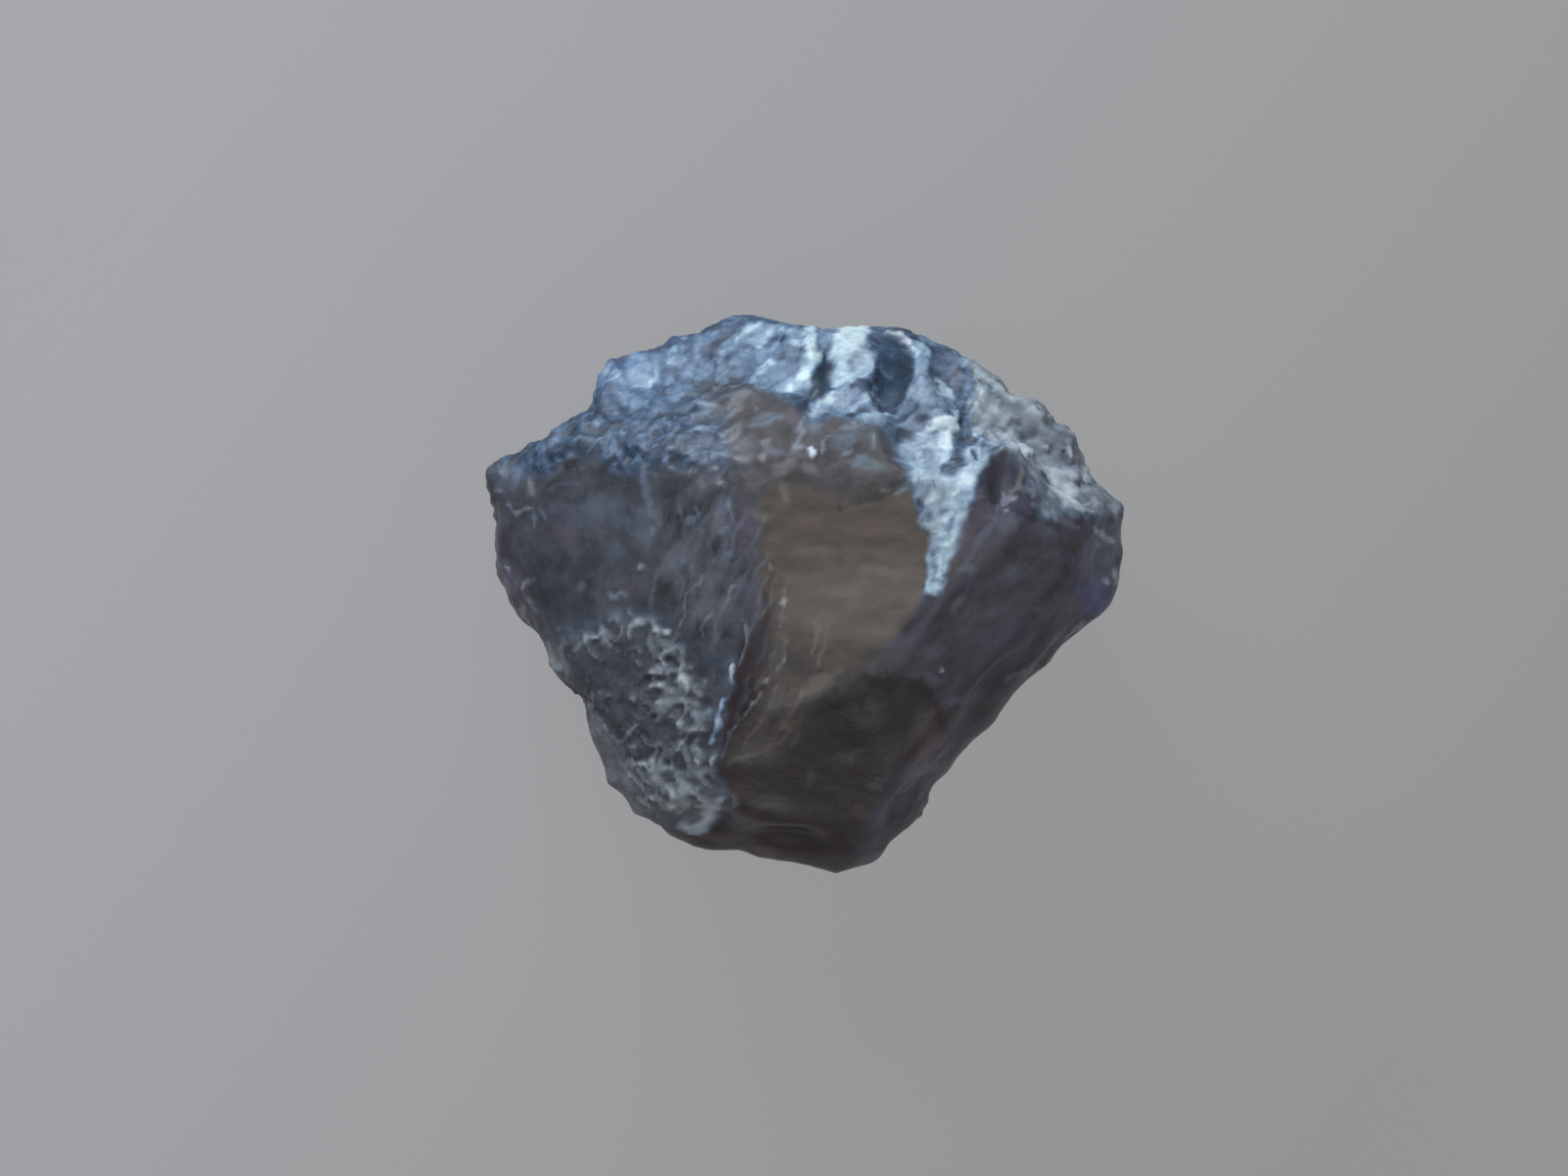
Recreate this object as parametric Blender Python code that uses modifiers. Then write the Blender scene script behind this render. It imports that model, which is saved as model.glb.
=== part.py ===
"""A rough iolite crystal: one broken piece of gem cordierite, lying on a flat break.

Metres, +Z up. The stone lies as a collector would lay it, with its clear window face up.
The origin is on the resting face, under the middle of the stone's outline. +Y is the side
with the bright scalloped breaks, and -Y is the dark toe.

The shape is made in the order in which a stone gets it. An outline is drawn out to a body,
the main breaks cut it flat, steps and shells come off it, and the fine relief comes last.
"""

import math
from typing import NamedTuple

import bmesh
import bpy
import numpy as np
from mathutils import Matrix, Vector, noise
from mathutils.bvhtree import BVHTree

MM = 0.001

# The stone's size, corner to corner
WIDTH = 25.0 * MM
DEPTH = 21.9 * MM
HEIGHT = 12.0 * MM

# How finely the relief is worked, and about how many faces are kept of it
GRAIN = 0.14 * MM
KEPT_FACES = 10600

# The body's outline seen from above, in mm, anticlockwise from the left shoulder
OUTLINE = (
    (-12.84, 4.70), (-12.68, 3.90), (-12.40, 3.30), (-12.38, 2.20), (-12.22, 1.10),
    (-11.95, 0.00), (-11.36, -1.00), (-10.75, -1.42), (-10.40, -1.90), (-10.20, -2.75),
    (-9.55, -3.50), (-8.84, -4.05), (-8.70, -4.90), (-8.42, -5.90), (-8.05, -6.80),
    (-7.98, -7.38), (-7.20, -7.92), (-6.85, -8.62), (-6.10, -8.88), (-5.50, -9.55),
    (-4.95, -9.55), (-4.60, -9.95), (-3.20, -10.12), (-2.66, -9.88), (-2.27, -10.26),
    (-1.36, -10.30), (-0.46, -10.60), (0.50, -10.76), (0.95, -11.05), (1.45, -10.92),
    (1.90, -10.64), (2.75, -10.45), (3.05, -9.76), (3.85, -9.32), (4.45, -8.56),
    (4.70, -8.10), (4.80, -7.50), (5.40, -7.05), (5.80, -6.36), (6.61, -5.55),
    (7.26, -5.08), (7.68, -4.42), (8.38, -3.46), (8.66, -3.12), (9.12, -2.90),
    (9.60, -2.56), (9.80, -2.14), (10.36, -1.84), (10.66, -1.38), (11.15, -0.98),
    (11.70, -0.50), (12.20, 0.05), (12.30, 1.00), (12.50, 1.75), (12.36, 2.70),
    (12.60, 3.40), (12.10, 3.90), (11.15, 4.60), (10.95, 5.20), (10.62, 6.20),
    (10.20, 6.60), (9.62, 6.72), (9.48, 7.35), (9.10, 7.72), (8.10, 7.85),
    (7.72, 8.45), (6.95, 9.08), (5.63, 9.78), (4.70, 10.09), (3.60, 10.46),
    (0.92, 10.46), (0.00, 10.46), (-0.46, 10.66), (-1.92, 10.93), (-2.95, 10.96),
    (-3.85, 10.57), (-4.30, 10.26), (-5.30, 10.12), (-5.62, 9.74), (-6.70, 9.55),
    (-7.85, 9.28), (-8.10, 8.85), (-8.44, 7.60), (-8.60, 7.15), (-9.16, 7.03),
    (-10.15, 6.50), (-11.70, 5.60), (-12.62, 5.34),
)  # fmt: skip

# The widest line round the body: its mean height, its lean and its waviness, in mm
GIRDLE_HEIGHT = 4.9
GIRDLE_LEAN = (0.05, -0.02)
GIRDLE_WAVE = 0.45
SHRINK_ABOVE = 0.88
SHRINK_BELOW = 0.80


class Break(NamedTuple):
    """A flat break: a point on it in mm, the way it faces and its tilt from level."""

    name: str
    x: float
    y: float
    z: float
    faces: float
    tilt: float


BREAKS = (
    Break("window", 1.2, 0.5, 12.0, 285, 2),
    Break("left face", -2.1, 0.3, 11.9, 179, 31),
    Break("left shoulder", -11.2, 3.5, 6.5, 160, 50),
    Break("left flank", -8.3, -3.6, 7.9, 208, 58),
    Break("pitted face", -5.0, -3.0, 10.16, 201, 34),
    Break("heel", -6.5, -8.3, 7.7, 226, 60),
    Break("toe", 0.9, -3.9, 11.7, 284, 38),
    Break("toe end", 0.0, -9.6, 7.2, 262, 62),
    Break("right face", 2.65, -3.11, 11.6, 317, 40),
    Break("right flank", 7.2, -3.7, 7.6, 318, 64),
    Break("right tip", 11.3, 1.6, 7.6, 350, 60),
    Break("ledges", 8.0, 4.1, 10.9, 47, 50),
    Break("crown", 1.0, 5.5, 11.6, 76, 45),
    Break("crown left", -3.5, 7.6, 9.7, 99, 52),
    Break("crumbling band", -8.0, 5.9, 8.5, 112, 50),
    Break("under left", -7.2, 0.4, 0.0, 176, 143),
    Break("under shoulder", -6.6, 4.3, 0.0, 143, 138),
    Break("under heel", -4.6, -5.2, 0.0, 222, 134),
    Break("under toe", 0.2, -6.9, 0.0, 275, 137),
    Break("under right", 4.6, -3.4, 0.0, 318, 127),
    Break("under tip", 8.3, 1.4, 0.0, 3, 132),
    Break("under ledges", 6.2, 4.6, 0.0, 48, 138),
    Break("under crown", 0.3, 6.7, 0.0, 88, 136),
)


class Step(NamedTuple):
    """A step broken in: a point in mm on the line where its tread and its riser meet.

    Tread and riser each have the way that they face and their tilt from level.
    """

    name: str
    x: float
    y: float
    z: float
    tread: tuple[float, float]
    riser: tuple[float, float]


STEPS = (
    Step("window and blade", 4.9, 1.6, 11.5, (350, 4), (162, 34)),
    Step("upper ledge", 7.2, 7.1, 8.45, (47, 37), (36, 76)),
    Step("lower ledge", 9.7, 4.9, 8.45, (47, 38), (62, 76)),
)


class Scoop(NamedTuple):
    """A shell flaked off: where in plan, its size and depth in mm, and how it is turned.

    Its floor lies flatter than the face that it broke from, by the share lift of its tilt.
    """

    x: float
    y: float
    length: float
    width: float
    depth: float
    turn: float
    lift: float = 0.4


SCOOPS_ABOVE = (
    Scoop(-0.8, 9.0, 3.2, 3.0, 0.50, 100),
    Scoop(-2.9, 9.3, 2.8, 2.0, 0.30, 70),
    Scoop(-6.5, 8.5, 2.2, 2.0, 0.40, 150),
    Scoop(-4.8, 9.0, 2.6, 2.2, 0.25, 120),
    Scoop(-7.7, 7.6, 1.8, 1.6, 0.25, 120),
    Scoop(-3.4, 7.4, 3.4, 1.8, 0.20, 10),
    Scoop(0.9, 9.4, 2.8, 1.6, 0.35, 84),
    Scoop(2.0, 9.1, 1.6, 1.4, 0.20, 90),
    Scoop(1.5, 7.7, 3.4, 1.6, 0.25, 22),
    Scoop(3.4, 8.4, 3.6, 2.0, 0.55, 88),
    Scoop(5.5, 8.3, 3.0, 1.7, 0.35, 116),
    Scoop(4.2, 6.5, 3.2, 2.6, 0.40, 95),
    Scoop(6.3, 6.4, 2.4, 1.6, 0.30, 100),
    Scoop(2.2, 5.6, 3.2, 1.8, 0.20, 10),
    Scoop(-0.8, 6.3, 3.0, 1.8, 0.20, 170),
    Scoop(7.5, 4.5, 2.4, 1.3, 0.50, 78),
    Scoop(6.9, 2.2, 3.6, 1.7, 0.35, 70),
    Scoop(8.6, 6.9, 2.8, 1.6, 0.45, 130),
    Scoop(10.9, 4.1, 2.2, 1.2, 0.40, 150),
    Scoop(11.7, 1.2, 2.0, 1.5, 0.40, 70),
    Scoop(7.5, -3.4, 3.2, 1.6, 0.35, 45),
    Scoop(3.9, -8.0, 2.8, 1.5, 0.35, 55),
    Scoop(3.6, -5.2, 5.0, 3.4, 0.15, 40, lift=0.0),
    Scoop(-0.5, -9.6, 3.4, 1.5, 0.35, 170),
    Scoop(-4.1, -8.9, 2.2, 2.0, 0.45, 30),
    Scoop(-8.1, -6.6, 2.6, 1.6, 0.35, 110),
    Scoop(-10.0, -2.9, 2.4, 1.3, 0.35, 120),
    Scoop(-11.9, 1.4, 2.6, 1.2, 0.30, 95),
    Scoop(-10.8, 4.4, 2.0, 1.3, 0.20, 40),
    Scoop(-5.2, -3.2, 4.6, 3.0, 0.30, 70),
    Scoop(-9.6, 6.4, 2.0, 1.2, 0.40, 30),
)


class Flake(NamedTuple):
    """A scoop on the flanks or underside: the way it faces, and its size in mm."""

    bearing: float
    height: float
    length: float
    width: float
    depth: float
    turn: float


FLAKES_BELOW = (
    Flake(15, -15, 5.0, 3.2, 0.55, 10),
    Flake(52, 5, 4.6, 3.0, 0.6, 80),
    Flake(86, -20, 6.0, 4.2, 0.7, 20),
    Flake(104, 12, 3.6, 2.4, 0.5, 60),
    Flake(140, -18, 4.8, 3.4, 0.6, 45),
    Flake(178, -24, 5.4, 3.6, 0.6, 0),
    Flake(205, 2, 3.8, 2.2, 0.45, 100),
    Flake(236, -16, 4.8, 3.0, 0.55, 30),
    Flake(268, -26, 5.2, 3.8, 0.6, 15),
    Flake(300, 0, 3.6, 2.4, 0.45, 70),
    Flake(322, -22, 5.4, 3.4, 0.6, 50),
    Flake(345, 4, 3.4, 2.2, 0.45, 20),
)
SCOOP_ANGLE = math.radians(42)
FLAKES_AIM = Vector((0.3, -0.2, 5.0))
FAR_OUT = 40.0
BLOCK_SIZE = 60.0
UP = Vector((0, 0, 1))


class Zone(NamedTuple):
    """A patch of one kind of relief on the upper side: an ellipse in plan, in mm."""

    x: float
    y: float
    half_length: float
    half_width: float
    turn: float


CRUMB_ZONES = (
    Zone(-7.6, 6.3, 5.2, 1.7, 14),
    Zone(-3.4, 5.6, 2.6, 1.6, 0),
    Zone(10.6, 4.6, 2.4, 1.2, -42),
)
ETCHED_ZONES = (
    Zone(-5.6, -4.6, 3.6, 3.2, 110),
    Zone(-5.1, -8.0, 2.4, 1.6, -30),
)
LEDGE_ZONES = (
    Zone(8.6, 6.2, 4.4, 2.6, -38),
    Zone(6.6, -5.6, 5.6, 1.3, 47),
    Zone(-10.9, -0.8, 4.4, 1.0, -62),
)
FLAT_ZONES = (
    Zone(1.3, 0.6, 3.6, 4.0, 0),
    Zone(-8.0, 2.4, 4.4, 2.6, -5),
    Zone(1.2, -7.2, 3.0, 2.6, 0),
    Zone(9.0, 0.8, 3.4, 1.8, 40),
)

# Height and size of each kind of relief, in mm
LUMPS = (0.16, 3.4)
ROUGHNESS = (0.05, 0.9)
CRUMBS = (0.17, 0.62)
ETCH_PITS = (0.15, 1.0)
UNDERSIDE_CRUMBS = (0.35, 1.3)
UNDERSIDE_PATCH = 4.5
FLAT_SHARE = 0.2

# How far up from its lowest point the underside is broken off level
REST_DEPTH = 0.25 * MM

# The ledges are the edges of thin layers: their dip, their thickness and their tread
LAYER_SHARE = 0.85
LAYER_NORMAL = Vector((0.34, 0.30, 0.89)).normalized()
LAYER_THICKNESS = 0.62
LAYER_TREAD = 0.86
LAYER_WAVE = (0.25, 3.0)


def clear_scene() -> None:
    """Removes every object that the scene starts with."""
    for found in list(bpy.data.objects):
        bpy.data.objects.remove(found)


def new_object(name: str, mesh, collection):
    """Puts a mesh in the scene as an object of that name."""
    made = bpy.data.objects.new(name, mesh)
    collection.objects.link(made)
    return made


def new_collection(name: str):
    """Makes a collection in the scene."""
    made = bpy.data.collections.new(name)
    bpy.context.scene.collection.children.link(made)
    return made


def mesh_of(bm, name: str):
    """Turns a bmesh given in mm into a mesh in metres."""
    bmesh.ops.recalc_face_normals(bm, faces=bm.faces)
    bmesh.ops.scale(bm, vec=(MM, MM, MM), verts=bm.verts)
    mesh = bpy.data.meshes.new(name)
    bm.to_mesh(mesh)
    bm.free()
    return mesh


def as_cutter(made) -> None:
    """Marks an object as a helper that isn't part of the stone."""
    made.hide_render = True
    made.display_type = "WIRE"


def girdle_height(x: float, y: float) -> float:
    """Height in mm of the widest line at a point of the outline."""
    around = math.atan2(y, x)
    return (
        GIRDLE_HEIGHT
        + GIRDLE_LEAN[0] * x
        + GIRDLE_LEAN[1] * y
        + GIRDLE_WAVE * math.sin(3 * around + 0.8)
    )


def outline_body(collection):
    """The outline drawn up and down from its widest line, narrowing both ways."""
    bm = bmesh.new()
    corners = [bm.verts.new((x, y, girdle_height(x, y))) for x, y in OUTLINE]
    girdle = [
        bm.edges.new((corner, corners[(i + 1) % len(corners)]))
        for i, corner in enumerate(corners)
    ]
    for end, shrink in ((14.0, SHRINK_ABOVE), (-1.0, SHRINK_BELOW)):
        drawn = bmesh.ops.extrude_edge_only(bm, edges=girdle)["geom"]
        for vert in (item for item in drawn if isinstance(item, bmesh.types.BMVert)):
            vert.co = (vert.co.x * shrink, vert.co.y * shrink, end)
        rim = [
            item
            for item in drawn
            if isinstance(item, bmesh.types.BMEdge) and item.is_boundary
        ]
        bmesh.ops.contextual_create(bm, geom=rim)
    return new_object("outline body", mesh_of(bm, "outline body"), collection)


def faces_and_tilt(faces: float, tilt: float) -> Vector:
    """The outward normal of a flat break, from the way it faces and its tilt in degrees."""
    way, lean = math.radians(faces), math.radians(tilt)
    return Vector(
        (math.sin(lean) * math.cos(way), math.sin(lean) * math.sin(way), math.cos(lean))
    )


def block_cut_by(planes, keep_outside: bool):
    """A block in mm cut by planes, each a point and a normal, of which one side is kept."""
    bm = bmesh.new()
    bmesh.ops.create_cube(bm, size=BLOCK_SIZE)
    for point, outwards in planes:
        cut = bmesh.ops.bisect_plane(
            bm,
            geom=bm.verts[:] + bm.edges[:] + bm.faces[:],
            plane_co=point,
            plane_no=outwards,
            clear_outer=not keep_outside,
            clear_inner=keep_outside,
        )["geom_cut"]
        edges = [item for item in cut if isinstance(item, bmesh.types.BMEdge)]
        bmesh.ops.contextual_create(bm, geom=edges)
    return bm


def broken_block(collection):
    """A block cut by every flat break, which is the stone's shape but for its outline."""
    planes = [
        ((flat.x, flat.y, flat.z), faces_and_tilt(flat.faces, flat.tilt)) for flat in BREAKS
    ]
    bm = block_cut_by(planes, keep_outside=False)
    made = new_object("broken block", mesh_of(bm, "broken block"), collection)
    as_cutter(made)
    return made


def step_cutters(collection) -> None:
    """The wedge over every step, between its tread and its riser."""
    for step in STEPS:
        point = (step.x, step.y, step.z)
        planes = [(point, faces_and_tilt(*step.tread)), (point, faces_and_tilt(*step.riser))]
        bm = block_cut_by(planes, keep_outside=True)
        as_cutter(new_object(step.name, mesh_of(bm, step.name), collection))


def scoop_cutter(at: Vector, outwards: Vector, along: Vector, size, collection) -> None:
    """An ellipsoid that flakes a shell of that length, width and depth off a face.

    The ellipsoid meets the face at SCOOP_ANGLE, so its radii follow from the shell.
    """
    length, width, depth = size
    radii = (
        length / (2 * math.sin(SCOOP_ANGLE)),
        width / (2 * math.sin(SCOOP_ANGLE)),
        depth / (1 - math.cos(SCOOP_ANGLE)),
    )
    side = outwards.cross(along).normalized()
    along = side.cross(outwards)
    centre = at + outwards * (radii[2] - depth)
    axes = Matrix((along, side, outwards)).transposed().to_4x4()
    bm = bmesh.new()
    bmesh.ops.create_icosphere(
        bm,
        subdivisions=4,
        radius=1,
        matrix=Matrix.Translation(centre) @ axes @ Matrix.Diagonal((*radii, 1)),
    )
    as_cutter(new_object("scoop", mesh_of(bm, "scoop"), collection))


def place_scoops(block, collection) -> None:
    """Sets a cutter for every scoop where its ray meets the broken block."""
    bm = bmesh.new()
    bm.from_mesh(block.data)
    bmesh.ops.scale(bm, vec=(1 / MM, 1 / MM, 1 / MM), verts=bm.verts)
    surface = BVHTree.FromBMesh(bm)
    for scoop in SCOOPS_ABOVE:
        above = Vector((scoop.x, scoop.y, FAR_OUT))
        at, outwards, _, _ = surface.ray_cast(above, -UP)
        outwards = outwards.slerp(UP, scoop.lift)
        turn = math.radians(scoop.turn)
        along = Vector((math.cos(turn), math.sin(turn), 0))
        size = (scoop.length, scoop.width, scoop.depth)
        scoop_cutter(at, outwards, along, size, collection)
    for flake in FLAKES_BELOW:
        bearing, height = math.radians(flake.bearing), math.radians(flake.height)
        level = Vector((math.cos(bearing), math.sin(bearing), 0))
        outside = level * math.cos(height) + Vector((0, 0, math.sin(height)))
        start = FLAKES_AIM + outside * FAR_OUT
        at, outwards, _, _ = surface.ray_cast(start, -outside)
        turn = math.radians(flake.turn)
        across = Vector((-level.y, level.x, 0))
        along = across * math.cos(turn) + Vector((0, 0, math.sin(turn)))
        size = (flake.length, flake.width, flake.depth)
        scoop_cutter(at, outwards, along, size, collection)
    bm.free()


def boolean(made, operation: str, name: str, other=None, others=None) -> None:
    """Adds a Boolean with one object, or with all those of a collection."""
    modifier = made.modifiers.new(name, "BOOLEAN")
    modifier.operation = operation
    if others is None:
        modifier.object = other
    else:
        modifier.operand_type = "COLLECTION"
        modifier.collection = others


def evaluated_mesh(made, name: str):
    """The mesh that an object's modifiers give."""
    graph = bpy.context.evaluated_depsgraph_get()
    mesh = bpy.data.meshes.new_from_object(made.evaluated_get(graph))
    mesh.name = name
    return mesh


def zone_weight(zones, x: float, y: float) -> float:
    """1 in the middle of the nearest zone, falling smoothly to 0 at its rim."""
    most = 0.0
    for zone in zones:
        turn = math.radians(zone.turn)
        dx, dy = x - zone.x, y - zone.y
        along = (dx * math.cos(turn) + dy * math.sin(turn)) / zone.half_length
        across = (dy * math.cos(turn) - dx * math.sin(turn)) / zone.half_width
        inside = max(0.0, min(1.0, (1 - math.hypot(along, across)) / 0.45))
        most = max(most, inside * inside * (3 - 2 * inside))
    return most


def rock_noise(at: Vector, size: float, octaves: int) -> float:
    """Noise from -1 to 1 with lumps of about that size in mm."""
    return noise.fractal(at / size, 0.9, 2.1, octaves)


def crystal_grains(at: Vector, size: float) -> float:
    """Height of small grains, each with a flat top that leans its own way."""
    spot = at / size
    middle = noise.voronoi(spot)[1][0]
    lean = noise.cell_vector(middle * 7.3 + Vector((0.5, 0.5, 0.5)))
    lean = lean - Vector((0.5, 0.5, 0.5))
    return noise.cell(middle * 5.1) - 0.5 + 1.6 * lean.dot(spot - middle)


def etch_pits(at: Vector, size: float) -> float:
    """Rounded pits that a ridge parts, from -1 in a pit to 0 on the ridge."""
    near, next_near = noise.voronoi(at / size)[0][:2]
    return -min(1.0, (next_near - near) * 2.2)


def layer_step(at: Vector) -> float:
    """How far a point moves along the layers' normal to lie on the tread of its layer."""
    through = at.dot(LAYER_NORMAL) + LAYER_WAVE[0] * rock_noise(at, LAYER_WAVE[1], 2)
    layers = through / LAYER_THICKNESS
    share = layers - math.floor(layers)
    tread = max(0.0, (share - LAYER_TREAD) / (1 - LAYER_TREAD))
    return (tread - share) * LAYER_THICKNESS


def relief(at: Vector, outwards: Vector) -> Vector:
    """How far the fine relief moves a point of the stone, all in mm."""
    upper = 1.0 if outwards.z > -0.1 else 0.0
    crumbs = upper * zone_weight(CRUMB_ZONES, at.x, at.y)
    etched = upper * zone_weight(ETCHED_ZONES, at.x, at.y)
    ledges = upper * zone_weight(LEDGE_ZONES, at.x, at.y)
    calm = 1 - (1 - FLAT_SHARE) * upper * zone_weight(FLAT_ZONES, at.x, at.y)
    height = calm * LUMPS[0] * rock_noise(at, LUMPS[1], 2)
    height += calm * ROUGHNESS[0] * rock_noise(at + Vector((9, 4, 2)), ROUGHNESS[1], 3)
    height += crumbs * CRUMBS[0] * crystal_grains(at, CRUMBS[1])
    height += etched * ETCH_PITS[0] * etch_pits(at, ETCH_PITS[1])
    if not upper:
        patchy = max(0.0, rock_noise(at + Vector((3, 8, 1)), UNDERSIDE_PATCH, 1))
        height += patchy * UNDERSIDE_CRUMBS[0] * crystal_grains(at, UNDERSIDE_CRUMBS[1])
    return outwards * height + LAYER_NORMAL * (LAYER_SHARE * ledges * layer_step(at))


def add_relief(mesh) -> None:
    """Moves every point of a finely divided mesh by the relief at that place."""
    moved = []
    for vert in mesh.vertices:
        moved.append(vert.co + relief(vert.co / MM, vert.normal) * MM)
    mesh.vertices.foreach_set("co", np.array(moved, np.float32).ravel())
    mesh.update()


def bring_to_size(bm) -> None:
    """Stretches the stone to its real size and sets it on the origin."""
    points = np.array([vert.co for vert in bm.verts])
    low, high = points.min(axis=0), points.max(axis=0)
    scale = np.array((WIDTH, DEPTH, HEIGHT)) / (high - low)
    middle = Vector(((low[0] + high[0]) / 2, (low[1] + high[1]) / 2, low[2]))
    bmesh.ops.translate(bm, vec=-middle, verts=bm.verts)
    bmesh.ops.scale(bm, vec=scale, verts=bm.verts)


def break_level(bm, height: float) -> None:
    """Cuts the underside level at that height, which makes the resting face."""
    cut = bmesh.ops.bisect_plane(
        bm,
        geom=bm.verts[:] + bm.edges[:] + bm.faces[:],
        dist=0.002 * MM,
        plane_co=(0, 0, height),
        plane_no=(0, 0, -1),
        clear_outer=True,
    )["geom_cut"]
    edges = [item for item in cut if isinstance(item, bmesh.types.BMEdge)]
    bmesh.ops.holes_fill(bm, edges=edges)


def iolite_material():
    """Dark blue-grey, glassy and slightly see-through, as rough iolite is."""
    material = bpy.data.materials.new("rough iolite")
    material.use_nodes = True
    shader = material.node_tree.nodes["Principled BSDF"]
    shader.inputs["Base Color"].default_value = (0.075, 0.08, 0.115, 1)
    shader.inputs["Roughness"].default_value = 0.28
    shader.inputs["Metallic"].default_value = 0.0
    shader.inputs["IOR"].default_value = 1.54
    shader.inputs["Transmission Weight"].default_value = 0.3
    return material


def build_stone() -> None:
    """Makes the crystal as one solid, from its outline to its finished relief."""
    stone = new_collection("rough iolite crystal")
    cutters = new_collection("cutters")
    scoops = new_collection("scoops")

    body = outline_body(cutters)
    block = broken_block(cutters)
    place_scoops(block, scoops)
    step_cutters(scoops)
    boolean(body, "INTERSECT", "flat breaks", other=block)
    boolean(body, "DIFFERENCE", "flaked shells", others=scoops)
    remesh = body.modifiers.new("even faces", "REMESH")
    remesh.mode = "VOXEL"
    remesh.voxel_size = GRAIN
    as_cutter(body)

    worked = evaluated_mesh(body, "worked stone")
    add_relief(worked)
    rough = new_object("worked stone", worked, cutters)
    as_cutter(rough)
    thin = rough.modifiers.new("fewer faces", "DECIMATE")
    triangles = sum(len(face.vertices) - 2 for face in worked.polygons)
    thin.ratio = KEPT_FACES / triangles
    thin.use_collapse_triangulate = True

    bm = bmesh.new()
    bm.from_mesh(evaluated_mesh(rough, "thinned stone"))
    break_level(bm, REST_DEPTH)
    bring_to_size(bm)
    bmesh.ops.triangulate(bm, faces=bm.faces)
    bmesh.ops.recalc_face_normals(bm, faces=bm.faces)
    mesh = bpy.data.meshes.new("iolite_crystal")
    bm.to_mesh(mesh)
    bm.free()
    mesh.materials.append(iolite_material())
    new_object("iolite_crystal", mesh, stone)


clear_scene()
build_stone()
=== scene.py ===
"""Looks of a rough iolite crystal that lies on a pale table with its window face up.

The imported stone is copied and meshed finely, and the relief that is too fine for the solid is
worked into it: grains, etched worms, shell-like chips, thin ledges, fibres and cracks. Brushes
then mark every place of the stone with what it is like, and one see-through finish reads the
marks. Places on the stone are in mm, seen from above, in the frame of the CAD model.
"""

import logging
import math
from dataclasses import dataclass, replace
from enum import Enum

import bmesh
import bpy
import numpy as np
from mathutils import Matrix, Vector, noise


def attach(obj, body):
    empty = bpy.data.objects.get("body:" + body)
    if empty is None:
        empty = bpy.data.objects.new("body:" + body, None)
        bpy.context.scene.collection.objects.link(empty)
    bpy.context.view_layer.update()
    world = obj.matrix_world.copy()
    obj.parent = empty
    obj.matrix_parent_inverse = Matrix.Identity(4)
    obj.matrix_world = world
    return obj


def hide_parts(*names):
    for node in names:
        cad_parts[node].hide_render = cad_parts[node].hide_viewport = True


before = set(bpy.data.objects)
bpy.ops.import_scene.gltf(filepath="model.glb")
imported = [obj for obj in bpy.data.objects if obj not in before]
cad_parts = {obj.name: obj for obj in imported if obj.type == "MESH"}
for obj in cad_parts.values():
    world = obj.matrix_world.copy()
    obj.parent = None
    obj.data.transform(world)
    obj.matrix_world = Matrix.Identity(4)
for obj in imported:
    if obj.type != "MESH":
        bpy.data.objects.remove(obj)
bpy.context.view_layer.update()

MM = 0.001
STONE_NODE = "iolite_crystal"
STAIN = "stain"

log = logging.getLogger("iolite")

Outline = tuple[tuple[float, float], ...]
Stops = tuple[tuple[float, str], ...]


def linear(colour: str) -> tuple[float, float, float, float]:
    """Turns an sRGB hex colour into Blender's linear colour.

    Args:
        colour: The colour as "#rrggbb".

    Returns:
        Red, green, blue and alpha, linear.
    """
    channels = []
    for start in (1, 3, 5):
        value = int(colour[start : start + 2], 16) / 255
        channels.append(value / 12.92 if value <= 0.04045 else ((value + 0.055) / 1.055) ** 2.4)
    return (*channels, 1.0)


def add_node(tree: bpy.types.NodeTree, kind: str, inputs: dict | None = None, **settings):
    """Adds a node with its settings, its input values and its links.

    Args:
        tree: The node tree.
        kind: The node's Blender type.
        inputs: Input name or number, with the value to set or the socket to link.
        settings: Properties of the node.

    Returns:
        The new node.
    """
    node = tree.nodes.new(kind)
    for name, value in settings.items():
        setattr(node, name, value)
    for name, value in (inputs or {}).items():
        if isinstance(value, bpy.types.NodeSocket):
            tree.links.new(value, node.inputs[name])
        else:
            node.inputs[name].default_value = value
    return node


def new_material(name: str) -> bpy.types.Material:
    """A material whose node tree is empty."""
    made = bpy.data.materials.new(name)
    made.use_nodes = True
    made.node_tree.nodes.clear()
    return made


def placed(name: str, data) -> bpy.types.Object:
    """A new object for a mesh, a light or a camera, in the scene and at the origin."""
    made = bpy.data.objects.new(name, data)
    bpy.context.scene.collection.objects.link(made)
    return made


def smooth_step(values: np.ndarray, low: float, high: float) -> np.ndarray:
    """Rises smoothly from 0 at low to 1 at high."""
    share = np.clip((values - low) / (high - low), 0, 1)
    return share * share * (3 - 2 * share)


def bell(values: np.ndarray, middle: float, width: float) -> np.ndarray:
    """1 at the middle and falling to both sides of it, like a bell."""
    return np.exp(-(((values - middle) / width) ** 2))


def read_rows(items, what: str, width: int, kind=np.float32) -> np.ndarray:
    """Reads one property of a mesh's parts, as rows of that width."""
    values = np.empty(len(items) * width, kind)
    items.foreach_get(what, values)
    rows = values.reshape(-1, width)
    return rows if kind is np.int32 else rows.astype(float)


def write_points(mesh: bpy.types.Mesh, points: np.ndarray) -> None:
    """Moves the mesh's points to places in mm."""
    mesh.vertices.foreach_set("co", (points * MM).astype(np.float32).ravel())
    mesh.update()


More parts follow.
